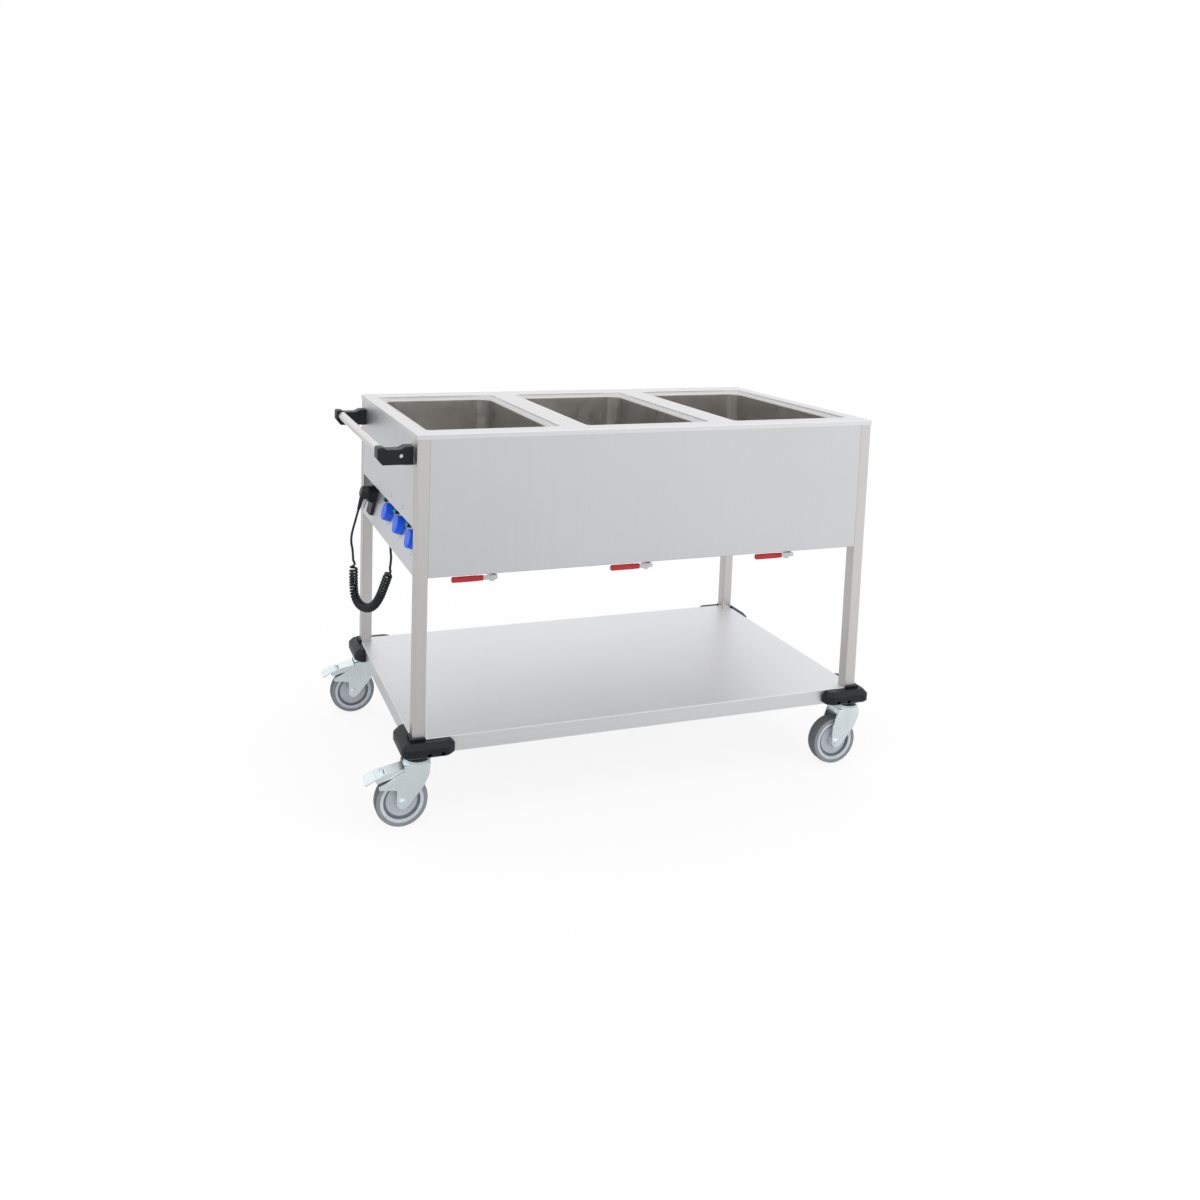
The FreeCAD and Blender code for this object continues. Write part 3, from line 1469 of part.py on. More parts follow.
def fascia_point(y, rise, out):
    """Point on or in front of the fascia, before the shift to deck_x."""
    sine, cosine = number(SLOPE_SIN), number(SLOPE_COS)
    x = rise * sine - out * cosine - number(FACE_X)
    return V(x, y, number(BODY_FLOOR) + rise * cosine + out * sine)


def mains_lead():
    """Lead from the plug's relief, through the curls, up into the gland."""
    rise, out = number("plug_rise - relief_end"), number("relief_out")
    back = number("holder_y")
    exit_point, below = fascia_point(back, rise, out), fascia_point(back, rise - LEAD_DROP, out)
    lead("cord_upper", [exit_point, below] + LEAD_DOWN + [hanging(*LEAD_JOIN), hanging(*COIL_AXIS[0])])
    cord_coil()
    gland_end = V(number("gland_x"), number("gland_y"), number(f"{TRAY_UNDER} - gland_length"))
    lead("cord_lower", [hanging(y, z) for y, z in LEAD_UP] + [gland_end])


def build():
    bumpers, heads = [], []
    for name, x_sign, y_sign in each_corner():
        leg(f"leg_{name}", x_sign, y_sign)
        bumpers.append(bumper(name, x_sign, y_sign))
        heads.append(castor_head(name, x_sign, y_sign))
        castor_fork(name, x_sign, y_sign, braked=x_sign < 0)
        castor_wheel(name, x_sign, y_sign)
    group("corner_bumpers", bumpers)
    group("castor_heads", heads)
    for end, sign in ENDS.items():
        brake_pedal(f"brake_pedal_{end}", -1, sign)
    top_deck()
    panels()
    base_tray()
    shelf()
    handle()
    control_fascia()
    group("thermostats", [thermostat(index) for index in (1, 2, 3)])
    lamp_pieces()
    valves = []
    for index, x in each_well():
        well(index, x)
        knob(index)
        valves.append(drain_valve(index, x))
        drain_lever(index, x)
    group("drain_valve_bodies", valves)
    heating_elements()
    drain_pipes()
    plug_holder()
    mains_plug()
    cable_gland()
    mains_lead()


build()
doc.recompute()
for item in doc.Objects:
    if "Invalid" in item.State or "Error" in item.State:
        raise RuntimeError(f"{item.Label} failed: {item.State}")
for item in nodes:
    if item.Shape.isNull() or not item.Shape.isValid():
        raise RuntimeError(f"{item.Label} has no sound shape")
os.makedirs("parts", exist_ok=True)
for item in nodes:
    item.Shape.exportStep(f"parts/{item.Label}.step")
print(f"{len(nodes)} nodes")
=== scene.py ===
import math

import bpy
import numpy as np
from mathutils import Matrix, Vector


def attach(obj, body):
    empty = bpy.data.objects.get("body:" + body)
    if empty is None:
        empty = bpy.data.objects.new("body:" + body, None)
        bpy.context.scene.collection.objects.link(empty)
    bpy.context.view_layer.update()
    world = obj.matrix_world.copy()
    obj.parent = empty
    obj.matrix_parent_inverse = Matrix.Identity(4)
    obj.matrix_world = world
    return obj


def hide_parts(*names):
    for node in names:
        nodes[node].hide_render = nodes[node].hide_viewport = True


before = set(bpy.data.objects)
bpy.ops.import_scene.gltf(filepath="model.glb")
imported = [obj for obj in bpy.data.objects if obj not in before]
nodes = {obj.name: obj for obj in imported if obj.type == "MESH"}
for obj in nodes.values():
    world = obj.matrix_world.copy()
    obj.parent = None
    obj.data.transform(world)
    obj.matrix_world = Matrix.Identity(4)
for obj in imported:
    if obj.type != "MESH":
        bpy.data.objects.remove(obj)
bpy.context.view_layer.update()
scene = bpy.context.scene
scene.view_settings.view_transform = "Standard"

# Sizes in metres, as in the part
DECK_X = 0.041
DECK_RIM = 0.904
BODY_FLOOR = 0.586
FACE_X = 0.5985
FACE_Y = 0.3235
WELL_PITCH = 0.4
WELLS = (1, 2, 3)
LEG_WIDTH = 0.030
LEG_X = 0.5835
CASTOR_TRAIL = 0.037
WHEEL_RADIUS = 0.0625
FASCIA_HEIGHT = 0.110
FASCIA_RECESS = 0.029
FASCIA_SLOPE = math.atan2(FASCIA_RECESS, FASCIA_HEIGHT)
KNOB_ROW_Y = -0.114
KNOB_PITCH = 0.128
KNOB_RISE = 0.070
VALVE_Y = -0.275
VALVE_Z = 0.569
LEVER_OUT = 0.02175
CORD_DIAMETER = 0.0065
CURL_RADIUS = 0.00925
CURL_COUNT = 37


# Camera at the photograph's angle: angles in radians, lens and sensor in millimetres

CAMERA_SPOT = (-1.1104, -2.5178, 1.3258)
CAMERA_AZIMUTH = -0.30618
CAMERA_ELEVATION = 0.10579
CAMERA_ROLL = 0.02343
LENS_LENGTH = 30.99
LENS_SHIFT = (0.10, -0.20)
SENSOR_WIDTH = 36


def aim_camera():
    """Camera turned by its azimuth, its elevation and a small roll."""
    back = Vector((
        math.sin(CAMERA_AZIMUTH) * math.cos(CAMERA_ELEVATION),
        -math.cos(CAMERA_AZIMUTH) * math.cos(CAMERA_ELEVATION),
        math.sin(CAMERA_ELEVATION),
    ))
    level_side = Vector((0, 0, 1)).cross(back).normalized()
    level_up = back.cross(level_side)
    side = level_side * math.cos(CAMERA_ROLL) + level_up * math.sin(CAMERA_ROLL)
    up = level_up * math.cos(CAMERA_ROLL) - level_side * math.sin(CAMERA_ROLL)
    lens = bpy.data.cameras.new("front_view")
    lens.lens = LENS_LENGTH
    lens.sensor_width = SENSOR_WIDTH
    lens.shift_x, lens.shift_y = LENS_SHIFT
    camera = bpy.data.objects.new("front_view", lens)
    turn = Matrix((side, up, back)).transposed().to_4x4()
    camera.matrix_world = Matrix.Translation(CAMERA_SPOT) @ turn
    scene.collection.objects.link(camera)
    scene.camera = camera


aim_camera()


# Shader helpers

# Sockets of a Mix node, which has a pair and a result for each kind of value
MIX_FACTOR = 0
NUMBER_PAIR = (2, 3)
NUMBER_RESULT = 0
COLOUR_PAIR = (6, 7)
COLOUR_RESULT = 2

# Range that most of a noise lies in
NOISE_LOW = 0.3
NOISE_HIGH = 0.7


def add(tree, kind, **values):
    """A shader node with its properties, and its inputs by name where the node has no such property."""
    made = tree.nodes.new(kind)
    for name, value in values.items():
        if hasattr(made, name):
            setattr(made, name, value)
        else:
            made.inputs[name.replace("_", " ")].default_value = value
    return made


def wire(tree, source, target):
    tree.links.new(source, target)


def feed(tree, value, socket):
    """A socket set to a number or wired to another socket; None leaves it alone."""
    if isinstance(value, (int, float)):
        socket.default_value = value
    elif value is not None:
        wire(tree, value, socket)


def worked(tree, operation, first, second=None):
    """Result of a sum on one or two values, each a number or a socket."""
    step = add(tree, "ShaderNodeMath", operation=operation)
    feed(tree, first, step.inputs[0])
    feed(tree, second, step.inputs[1])
    return step.outputs[0]


def spread(tree, value, low, high, to_low, to_high):
    """A value carried evenly from one range to another, and held at its ends."""
    step = add(tree, "ShaderNodeMapRange", From_Min=low, From_Max=high, To_Min=to_low, To_Max=to_high)
    wire(tree, value, step.inputs["Value"])
    return step.outputs[0]


def ranged(tree, noise, low, high):
    """A noise spread between two numbers."""
    return spread(tree, noise, NOISE_LOW, NOISE_HIGH, low, high)


def chosen(tree, choice, first, second):
    """The first value where the choice is 0, and the second where it is 1."""
    mix = add(tree, "ShaderNodeMix", data_type="FLOAT")
    wire(tree, choice, mix.inputs[MIX_FACTOR])
    for socket, value in zip(NUMBER_PAIR, (first, second)):
        feed(tree, value, mix.inputs[socket])
    return mix.outputs[NUMBER_RESULT]


def tinted(tree, factor, first, second):
    """A colour between two, by a factor; each of the two is three numbers or a socket."""
    mix = add(tree, "ShaderNodeMix", data_type="RGBA")
    wire(tree, factor, mix.inputs[MIX_FACTOR])
    for socket, colour in zip(COLOUR_PAIR, (first, second)):
        if isinstance(colour, tuple):
            mix.inputs[socket].default_value = (*colour, 1)
        else:
            wire(tree, colour, mix.inputs[socket])
    return mix.outputs[COLOUR_RESULT]


def shaded(tree, colour, shade):
    """One colour times another."""
    mix = add(tree, "ShaderNodeMix", data_type="RGBA", blend_type="MULTIPLY")
    mix.inputs[MIX_FACTOR].default_value = 1.0
    for socket, value in zip(COLOUR_PAIR, (colour, shade)):
        wire(tree, value, mix.inputs[socket])
    return mix.outputs[COLOUR_RESULT]


def scaled(colour, factor):
    return tuple(min(1.0, part * factor) for part in colour)


def split_place(tree, place):
    """The three coordinates of a place."""
    split = add(tree, "ShaderNodeSeparateXYZ")
    wire(tree, place, split.inputs[0])
    return split.outputs


def new_group(name, inputs, outputs):
    """A shader node group with named sockets, and its two end nodes."""
    tree = bpy.data.node_groups.new(name, "ShaderNodeTree")
    for socket, kind, value in inputs:
        made = tree.interface.new_socket(socket, in_out="INPUT", socket_type=kind)
        if value is not None:
            made.default_value = value
    for socket, kind in outputs:
        tree.interface.new_socket(socket, in_out="OUTPUT", socket_type=kind)
    return tree, tree.nodes.new("NodeGroupInput"), tree.nodes.new("NodeGroupOutput")


def brushing_group():
    """Brushed sheet: long fine streaks from a stretched noise, and a slow cloud over them."""
    tree, come, go = new_group(
        "brushing",
        [("Vector", "NodeSocketVector", None), ("Stretch", "NodeSocketVector", (4.0, 900.0, 900.0))],
        [("Streak", "NodeSocketFloat"), ("Cloud", "NodeSocketFloat")],
    )
    pulled = add(tree, "ShaderNodeVectorMath", operation="MULTIPLY")
    wire(tree, come.outputs["Vector"], pulled.inputs[0])
    wire(tree, come.outputs["Stretch"], pulled.inputs[1])
    streak = add(tree, "ShaderNodeTexNoise", Scale=1.0, Detail=4.0, Roughness=0.62)
    wire(tree, pulled.outputs[0], streak.inputs["Vector"])
    cloud = add(tree, "ShaderNodeTexNoise", Scale=3.2, Detail=3.0, Roughness=0.5)
    wire(tree, come.outputs["Vector"], cloud.inputs["Vector"])
    wire(tree, streak.outputs[0], go.inputs["Streak"])
    wire(tree, cloud.outputs[0], go.inputs["Cloud"])
    return tree


def moulding_group():
    """Moulded plastic: a fine pebble grain for the bump, and a slow cloud for tint and gloss."""
    tree, come, go = new_group(
        "moulding",
        [("Vector", "NodeSocketVector", None), ("Grain Scale", "NodeSocketFloat", 900.0)],
        [("Grain", "NodeSocketFloat"), ("Cloud", "NodeSocketFloat")],
    )
    grain = add(tree, "ShaderNodeTexVoronoi", feature="SMOOTH_F1")
    wire(tree, come.outputs["Vector"], grain.inputs["Vector"])
    wire(tree, come.outputs["Grain Scale"], grain.inputs["Scale"])
    cloud = add(tree, "ShaderNodeTexNoise", Scale=28.0, Detail=4.0, Roughness=0.55)
    wire(tree, come.outputs["Vector"], cloud.inputs["Vector"])
    wire(tree, grain.outputs["Distance"], go.inputs["Grain"])
    wire(tree, cloud.outputs[0], go.inputs["Cloud"])
    return tree


def rings_group():
    """Distance from the axle of the castor on either end, for the rings of wheel and tyre."""
    tree, come, go = new_group(
        "wheel_rings",
        [("Vector", "NodeSocketVector", None)],
        [("Radius", "NodeSocketFloat")],
    )
    split = split_place(tree, come.outputs["Vector"])
    from_middle = worked(tree, "SUBTRACT", split["X"], DECK_X - CASTOR_TRAIL)
    from_axle = worked(tree, "SUBTRACT", worked(tree, "ABSOLUTE", from_middle), LEG_X)
    above_axle = worked(tree, "SUBTRACT", split["Z"], WHEEL_RADIUS)
    offset = add(tree, "ShaderNodeCombineXYZ")
    wire(tree, from_axle, offset.inputs["X"])
    wire(tree, above_axle, offset.inputs["Z"])
    radius = add(tree, "ShaderNodeVectorMath", operation="LENGTH")
    wire(tree, offset.outputs[0], radius.inputs[0])
    wire(tree, radius.outputs["Value"], go.inputs["Radius"])
    return tree


BRUSHING = brushing_group()
MOULDING = moulding_group()
RINGS = rings_group()


# Finishes

# Stretch of the brushing along its streaks and across them
ALONG_STREAK = 3.0
ACROSS_STREAK = 700.0

# Where the red dip ends, left of each well's middle
GRIP_END = 0.0399


def new_material(name):
    """An empty material with its surface shader and object coordinates."""
    made = bpy.data.materials.new(name)
    made.use_nodes = True
    tree = made.node_tree
    tree.nodes.clear()
    surface = add(tree, "ShaderNodeBsdfPrincipled")
    out = add(tree, "ShaderNodeOutputMaterial")
    wire(tree, surface.outputs[0], out.inputs["Surface"])
    place = add(tree, "ShaderNodeTexCoord")
    return made, tree, surface, place.outputs["Object"]


def moulding(tree, place, grain_scale):
    """Grain and cloud of the moulding group, for one material."""
    mould = add(tree, "ShaderNodeGroup", node_tree=MOULDING, Grain_Scale=grain_scale)
    wire(tree, place, mould.inputs["Vector"])
    return mould.outputs["Grain"], mould.outputs["Cloud"]


def cloudy(tree, cloud, dark, light):
    """A colour that goes between two with the cloud."""
    return tinted(tree, ranged(tree, cloud, 0, 1), dark, light)


def glossed(tree, surface, noise, low, high):
    """Roughness that follows a noise between two values."""
    wire(tree, ranged(tree, noise, low, high), surface.inputs["Roughness"])


def bumped(tree, surface, height, strength, distance):
    bump = add(tree, "ShaderNodeBump", Strength=strength, Distance=distance)
    wire(tree, height, bump.inputs["Height"])
    wire(tree, bump.outputs[0], surface.inputs["Normal"])


def brushed_metal(name, colour, roughness, along, contrast=0.05, bump=0.04):
    """Brushed metal sheet: streaks run along one axis, and tint, gloss and bump follow them."""
    made, tree, surface, place = new_material(name)
    surface.inputs["Metallic"].default_value = 1.0
    stretch = [ACROSS_STREAK, ACROSS_STREAK, ACROSS_STREAK]
    stretch["xyz".index(along)] = ALONG_STREAK
    brushing = add(tree, "ShaderNodeGroup", node_tree=BRUSHING, Stretch=stretch)
    wire(tree, place, brushing.inputs["Vector"])
    streak = brushing.outputs["Streak"]
    streak_share = ranged(tree, streak, 0.0, 0.7)
    cloud_share = ranged(tree, brushing.outputs["Cloud"], 0.0, 0.3)
    tone = worked(tree, "ADD", streak_share, cloud_share)
    tint = tinted(tree, tone, scaled(colour, 1 - contrast), scaled(colour, 1 + contrast))
    wire(tree, tint, surface.inputs["Base Color"])
    glossed(tree, surface, streak, roughness * 0.85, roughness * 1.2)
    bumped(tree, surface, streak, bump, distance=0.0004)
    return made


def plated_metal(name, colour, roughness):
    """Zinc, chrome or drawn sheet: cloudy tint and gloss with a light orange-peel bump."""
    made, tree, surface, place = new_material(name)
    surface.inputs["Metallic"].default_value = 1.0
    grain, cloud = moulding(tree, place, grain_scale=260.0)
    tint = cloudy(tree, cloud, scaled(colour, 0.95), scaled(colour, 1.04))
    wire(tree, tint, surface.inputs["Base Color"])
    glossed(tree, surface, cloud, roughness * 0.9, roughness * 1.15)
    bumped(tree, surface, grain, strength=0.006, distance=0.0006)
    return made


def moulded_plastic(name, colour, roughness, grain_scale=900.0, bump=0.12, vary=0.1, shine=0.4):
    """Moulded plastic or rubber: pebble grain in the bump, cloudy tint and gloss."""
    made, tree, surface, place = new_material(name)
    surface.inputs["Specular IOR Level"].default_value = shine
    grain, cloud = moulding(tree, place, grain_scale)
    tint = cloudy(tree, cloud, scaled(colour, 1 - vary), scaled(colour, 1 + vary))
    wire(tree, tint, surface.inputs["Base Color"])
    glossed(tree, surface, cloud, roughness * 0.85, roughness * 1.2)
    bumped(tree, surface, grain, bump, distance=0.0003)
    return made


def ringed_plastic(name, rings, roughness, grain_scale, bump):
    """Wheel plastic or tyre rubber whose colour goes by rings round the axle, with moulded grain.

    Each ring is its inner radius and its colour.
    """
    made, tree, surface, place = new_material(name)
    round_axle = add(tree, "ShaderNodeGroup", node_tree=RINGS)
    wire(tree, place, round_axle.inputs["Vector"])
    bands = add(tree, "ShaderNodeValToRGB")
    wire(tree, worked(tree, "DIVIDE", round_axle.outputs["Radius"], WHEEL_RADIUS), bands.inputs[0])
    ramp = bands.color_ramp
    ramp.interpolation = "CONSTANT"
    while len(ramp.elements) < len(rings):
        ramp.elements.new(1.0)
    for stop, (radius, colour) in zip(ramp.elements, rings):
        stop.position = radius / WHEEL_RADIUS
        stop.color = (*colour, 1)
    grain, cloud = moulding(tree, place, grain_scale)
    shade = cloudy(tree, cloud, (0.84, 0.84, 0.84), (1, 1, 1))
    wire(tree, shaded(tree, bands.outputs[0], shade), surface.inputs["Base Color"])
    glossed(tree, surface, cloud, roughness * 0.85, roughness * 1.2)
    bumped(tree, surface, grain, bump, distance=0.0003)
    return made


def lever_finish():
    """Plated lever with a red dipped grip: one finish up to the end of the dip, the other past it."""
    made, tree, surface, place = new_material("lever_finish")
    from_first = worked(tree, "SUBTRACT", split_place(tree, place)["X"], DECK_X - 1.5 * WELL_PITCH)
    in_pitch = worked(tree, "FLOORED_MODULO", from_first, WELL_PITCH)
    dipped = worked(tree, "LESS_THAN", in_pitch, WELL_PITCH / 2 - GRIP_END)
    grain, cloud = moulding(tree, place, grain_scale=500.0)
    red = cloudy(tree, cloud, (0.48, 0.008, 0.016), (0.60, 0.014, 0.024))
    wire(tree, tinted(tree, dipped, (0.62, 0.63, 0.65), red), surface.inputs["Base Color"])
    wire(tree, worked(tree, "SUBTRACT", 1.0, dipped), surface.inputs["Metallic"])
    glossed(tree, surface, cloud, 0.26, 0.36)
    bumped(tree, surface, grain, strength=0.06, distance=0.0004)
    return made


panel_steel = brushed_metal("panel_steel", (0.705, 0.71, 0.725), 0.40, "z", contrast=0.04, bump=0.03)
end_steel = brushed_metal("end_steel", (0.76, 0.77, 0.80), 0.40, "z", contrast=0.04, bump=0.03)
tray_steel = brushed_metal("tray_steel", (0.72, 0.72, 0.725), 0.42, "x")
leg_steel = brushed_metal("leg_steel", (0.68, 0.665, 0.65), 0.36, "z", contrast=0.06)
deck_steel = brushed_metal("deck_steel", (0.80, 0.80, 0.81), 0.36, "x", contrast=0.03, bump=0.03)
# The shelf steel is lighter than the panel steel: painted light, standing in for the light on the shelf's top
shelf_steel = brushed_metal("shelf_steel", (0.80, 0.805, 0.82), 0.42, "x", contrast=0.04, bump=0.03)
tube_steel = brushed_metal("tube_steel", (0.78, 0.77, 0.75), 0.24, "y", contrast=0.03, bump=0.02)
well_steel = plated_metal("well_steel", (0.63, 0.612, 0.59), 0.30)
zinc = plated_metal("bright_zinc", (0.86, 0.94, 0.975), 0.26)
chrome = plated_metal("valve_plating", (0.72, 0.72, 0.73), 0.22)
black_plastic = moulded_plastic("charcoal_plastic", (0.007, 0.009, 0.014), 0.38, shine=0.32)
knob_blue = moulded_plastic("knob_blue", (0.004, 0.104, 0.80), 0.30, 600.0, bump=0.03, vary=0.06)
lamp_green = moulded_plastic("lamp_green", (0.005, 0.42, 0.30), 0.15, 400.0, bump=0.02)
cord_rubber = moulded_plastic("cord_rubber", (0.007, 0.009, 0.013), 0.30, 1200.0, bump=0.06, vary=0.12)
grip_red = moulded_plastic("grip_red", (0.54, 0.011, 0.02), 0.31, 500.0, bump=0.06)
dial_ink = moulded_plastic("dial_ink", (0.05, 0.052, 0.058), 0.5, bump=0.02)
# Wheel rings from the axle: hub, groove and rim; the darker groove ring is painted shade, standing in for the
# shadow in the groove
wheel_plastic = ringed_plastic(
    "wheel_grey",
    [(0.0, (0.52, 0.56, 0.60)), (0.0375, (0.25, 0.275, 0.30)), (0.0436, (0.62, 0.67, 0.72))],
    roughness=0.42,
    grain_scale=700.0,
    bump=0.06,
)
tyre_rubber = ringed_plastic(
    "tyre_rubber",
    [(0.0, (0.26, 0.285, 0.31)), (0.0605, (0.13, 0.14, 0.15))],
    roughness=0.58,
    grain_scale=600.0,
    bump=0.18,
)
lever_mixed = lever_finish()

# Finish of each node by the start of its name; the longest start that fits counts
FINISHES = {
    "leg_": leg_steel,
    "top_deck": deck_steel,
    "well_": well_steel,
    "front_panel": panel_steel,
    "back_panel": panel_steel,
    "left_end_panel": end_steel,
    "right_end_panel": end_steel,
    "control_fascia": end_steel,
    "base_tray": tray_steel,
    "shelf": shelf_steel,
    "handle_tube": tube_steel,
    "heating_elements": chrome,
    "drain_pipes": tube_steel,
    "drain_valve_bodies": chrome,
    "drain_ball": chrome,
    "drain_lever": lever_mixed,
    "handle_screws": chrome,
    "knob_spindle": chrome,
    "knob_": knob_blue,
    "thermostats": black_plastic,
    "lamp_bezels": black_plastic,
    "pilot_lamps": lamp_green,
    "plug_holder": black_plastic,
    "cable_gland": black_plastic,
    "handle_bracket": black_plastic,
    "corner_bumpers": black_plastic,
    "castor_heads": zinc,
    "castor_fork": zinc,
    "brake_pedal": zinc,
    "castor_wheel": wheel_plastic,
    "castor_tyre": tyre_rubber,
    "plug": cord_rubber,
    "cord_": cord_rubber,
}


def dress(piece, material):
    piece.data.materials.clear()
    piece.data.materials.append(material)


for name, piece in nodes.items():
    longest = max((start for start in FINISHES if name.startswith(start)), key=len)
    dress(piece, FINISHES[longest])


# Curly mains lead

# Ends of the upright plane in which the lead hangs, as distances from the deck's middle
HANG_START = np.array((-0.634, 0.200))
HANG_END = np.array((-0.576, 0.0323))


def hanging(y, z):
    """Point of the upright plane in which the lead hangs."""
    share = (y - HANG_START[1]) / (HANG_END[1] - HANG_START[1])
    return (DECK_X + HANG_START[0] + share * (HANG_END[0] - HANG_START[0]), y, z)


GLAND_END = (DECK_X - 0.576, 0.0323, 0.566)
LEAD_UP = [GLAND_END, hanging(0.0323, 0.549), hanging(0.0283, 0.532)]
COIL_AXIS = [
    hanging(0.0305, 0.517),
    hanging(0.034, 0.493),
    hanging(0.105, 0.362),
    hanging(0.210, 0.353),
    hanging(0.2126, 0.467),
    hanging(0.2165, 0.490),
]
LEAD_DOWN = [
    hanging(0.219, 0.5048),
    (DECK_X - 0.6450, 0.217, 0.522),
    (DECK_X - 0.6445, 0.2105, 0.550),
    (DECK_X - 0.63741, 0.205, 0.57974),
    (DECK_X - 0.62772, 0.205, 0.61648),
]


def smooth_spline(curve, points):
    """One open spline of order 3 that has the points as its control points."""
    spline = curve.splines.new("NURBS")
    spline.points.add(len(points) - 1)
    flat = np.ones((len(points), 4))
    flat[:, :3] = points
    spline.points.foreach_set("co", flat.ravel())
    spline.order_u = 3
    spline.use_endpoint_u = True
    spline.resolution_u = 4
    return spline


def line_of(points, resolution=24):
    """Points read along the smooth spline of a route."""
    curve = bpy.data.curves.new("route", "CURVE")
    curve.dimensions = "3D"
    smooth_spline(curve, points).resolution_u = resolution
    holder = bpy.data.objects.new("route", curve)
    mesh = bpy.data.meshes.new_from_object(holder)
    line = np.empty(len(mesh.vertices) * 3)
    mesh.vertices.foreach_get("co", line)
    bpy.data.objects.remove(holder)
    bpy.data.curves.remove(curve)
    bpy.data.meshes.remove(mesh)
    return line.reshape(-1, 3)


def nearest(line, point):
    """Index of the line's point that is nearest to another."""
    return np.argmin(np.linalg.norm(line - np.array(point), axis=1))


def unit(vectors):
    return vectors / np.linalg.norm(vectors, axis=-1, keepdims=True)


def curls(line):
    """Helix round a line: radius times (cos t, sin t) across the line's direction, drawn in at both ends.

    The distance along the line grows with the turn. Both drawn-in ends have some pitches more, and a swing of
    sin squared puts the curls ahead half way, so that they lie closer in the limb up to the plug.
    """
    per_turn, ease, end_pitches, ahead_half_way, look = 12, 1.5, 2.5, 2.0, 0.002
    steps = np.linalg.norm(np.diff(line, axis=0), axis=1)
    gone = np.concatenate(([0.0], np.cumsum(steps)))

    def reached(distance):
        return np.stack([np.interp(distance, gone, line[:, axis]) for axis in range(3)], axis=1)

    turn = np.arange(CURL_COUNT * per_turn + 1) / per_turn
    near_end = np.minimum(np.minimum(turn, CURL_COUNT - turn), ease) / ease
    drawn_out = near_end * near_end * (3 - 2 * near_end)
    start = np.minimum(turn, ease) / ease
    finish = np.maximum(turn - (CURL_COUNT - ease), 0.0) / ease
    loose = end_pitches * (2 * start - start ** 2) + end_pitches * finish ** 2
    swing = ahead_half_way * np.sin(math.pi * turn / CURL_COUNT) ** 2
    pitch = (gone[-1] - 2 * CORD_DIAMETER) / (CURL_COUNT + 2 * end_pitches)
    distance = CORD_DIAMETER + pitch * (turn + swing + loose)
    along = unit(reached(distance + look) - reached(distance - look))
    across = unit(np.array((HANG_END[1] - HANG_START[1], HANG_START[0] - HANG_END[0], 0.0)))
    side = np.cross(along, across)
    angle = 2 * math.pi * turn
    held = CURL_RADIUS / math.cos(math.pi / per_turn)
    ring = np.cos(angle)[:, None] * across + np.sin(angle)[:, None] * side
    return reached(distance) + ring * (held * drawn_out)[:, None]


def mains_lead():
    """Lead from the gland down through its curls and up into the plug, as one smooth tube."""
    line = line_of(LEAD_UP + COIL_AXIS + LEAD_DOWN)
    first = nearest(line, COIL_AXIS[0])
    last = nearest(line, COIL_AXIS[-1])
    turns = curls(line[first:last + 1])
    points = np.concatenate((LEAD_UP, line[first:first + 1], turns, line[last:last + 1], LEAD_DOWN))
    curve = bpy.data.curves.new("mains_lead", "CURVE")
    curve.dimensions = "3D"
    curve.bevel_depth = CORD_DIAMETER / 2
    curve.bevel_resolution = 3
    smooth_spline(curve, points)
    piece = bpy.data.objects.new("mains_lead", curve)
    scene.collection.objects.link(piece)
    curve.materials.append(cord_rubber)
    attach(piece, "trolley")
    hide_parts("cord_upper", "cord_coil", "cord_lower")


mains_lead()


# Small pieces on the sheet metal

def ridden(name, mesh, body):
    """An object for a mesh, on a body; the mesh brings its own finish."""
    piece = bpy.data.objects.new(name, mesh)
    scene.collection.objects.link(piece)
    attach(piece, body)


def new_piece(name, vertices, faces, material, body):
    """A mesh object of plain vertices and faces that rides on a body."""
    mesh = bpy.data.meshes.new(name)
    mesh.from_pydata(np.asarray(vertices).reshape(-1, 3).tolist(), [], faces)
    mesh.materials.append(material)
    ridden(name, mesh, body)


def tube_faces(rings, around, first=0):
    """Quads between neighbouring rings of a closed tube, and a cap at each end."""
    ring = np.arange(rings - 1)[:, None] * around
    here = np.arange(around)[None, :]
    after = (here + 1) % around
    quads = np.stack((ring + here, ring + after, ring + around + after, ring + around + here), axis=-1)
    caps = [np.arange(around)[::-1], (rings - 1) * around + np.arange(around)]
    return [(first + face).tolist() for face in [*quads.reshape(-1, 4), *caps]]


def round_angles(count):
    return np.arange(count) * 2 * math.pi / count


def seam_beads():
    """Ground weld beads between legs and panels.

    An ellipse of 1.5 by 1.1 mm is carried up each seam, and its size swells by 4% with each 5 mm ripple.
    """
    half_wide, half_deep, sunk, past_edge = 0.0015, 0.0011, 0.0015, 0.0001
    ripple, swelling, step = 0.005, 0.04, 0.00125
    height = np.arange(BODY_FLOOR + 0.002, DECK_RIM + 0.006, step)
    angle = round_angles(12)
    swell = 1 + swelling * np.sin(2 * math.pi * height / ripple)
    out_x = swell[:, None] * np.cos(angle)
    out_y = swell[:, None] * np.sin(angle)
    level = np.broadcast_to(height[:, None], out_x.shape)
    seam_x = FACE_X - LEG_WIDTH + past_edge
    seam_y = FACE_Y - LEG_WIDTH + past_edge
    tubes = []
    for x_sign in (-1, 1):
        for y_sign in (-1, 1):
            front_y = y_sign * (FACE_Y - sunk)
            end_x = x_sign * (FACE_X - sunk)
            on_front = (x_sign * seam_x + half_wide * out_x, front_y + half_deep * out_y, level)
            on_end = (end_x + half_deep * out_x, y_sign * seam_y + half_wide * out_y, level)
            tubes += [np.stack(on_front, axis=-1), np.stack(on_end, axis=-1)]
    faces = []
    for index in range(len(tubes)):
        faces += tube_faces(len(height), len(angle), index * level.size)
    vertices = np.stack(tubes) + np.array((DECK_X, 0, 0))
    new_piece("seam_beads", vertices, faces, leg_steel, "trolley")


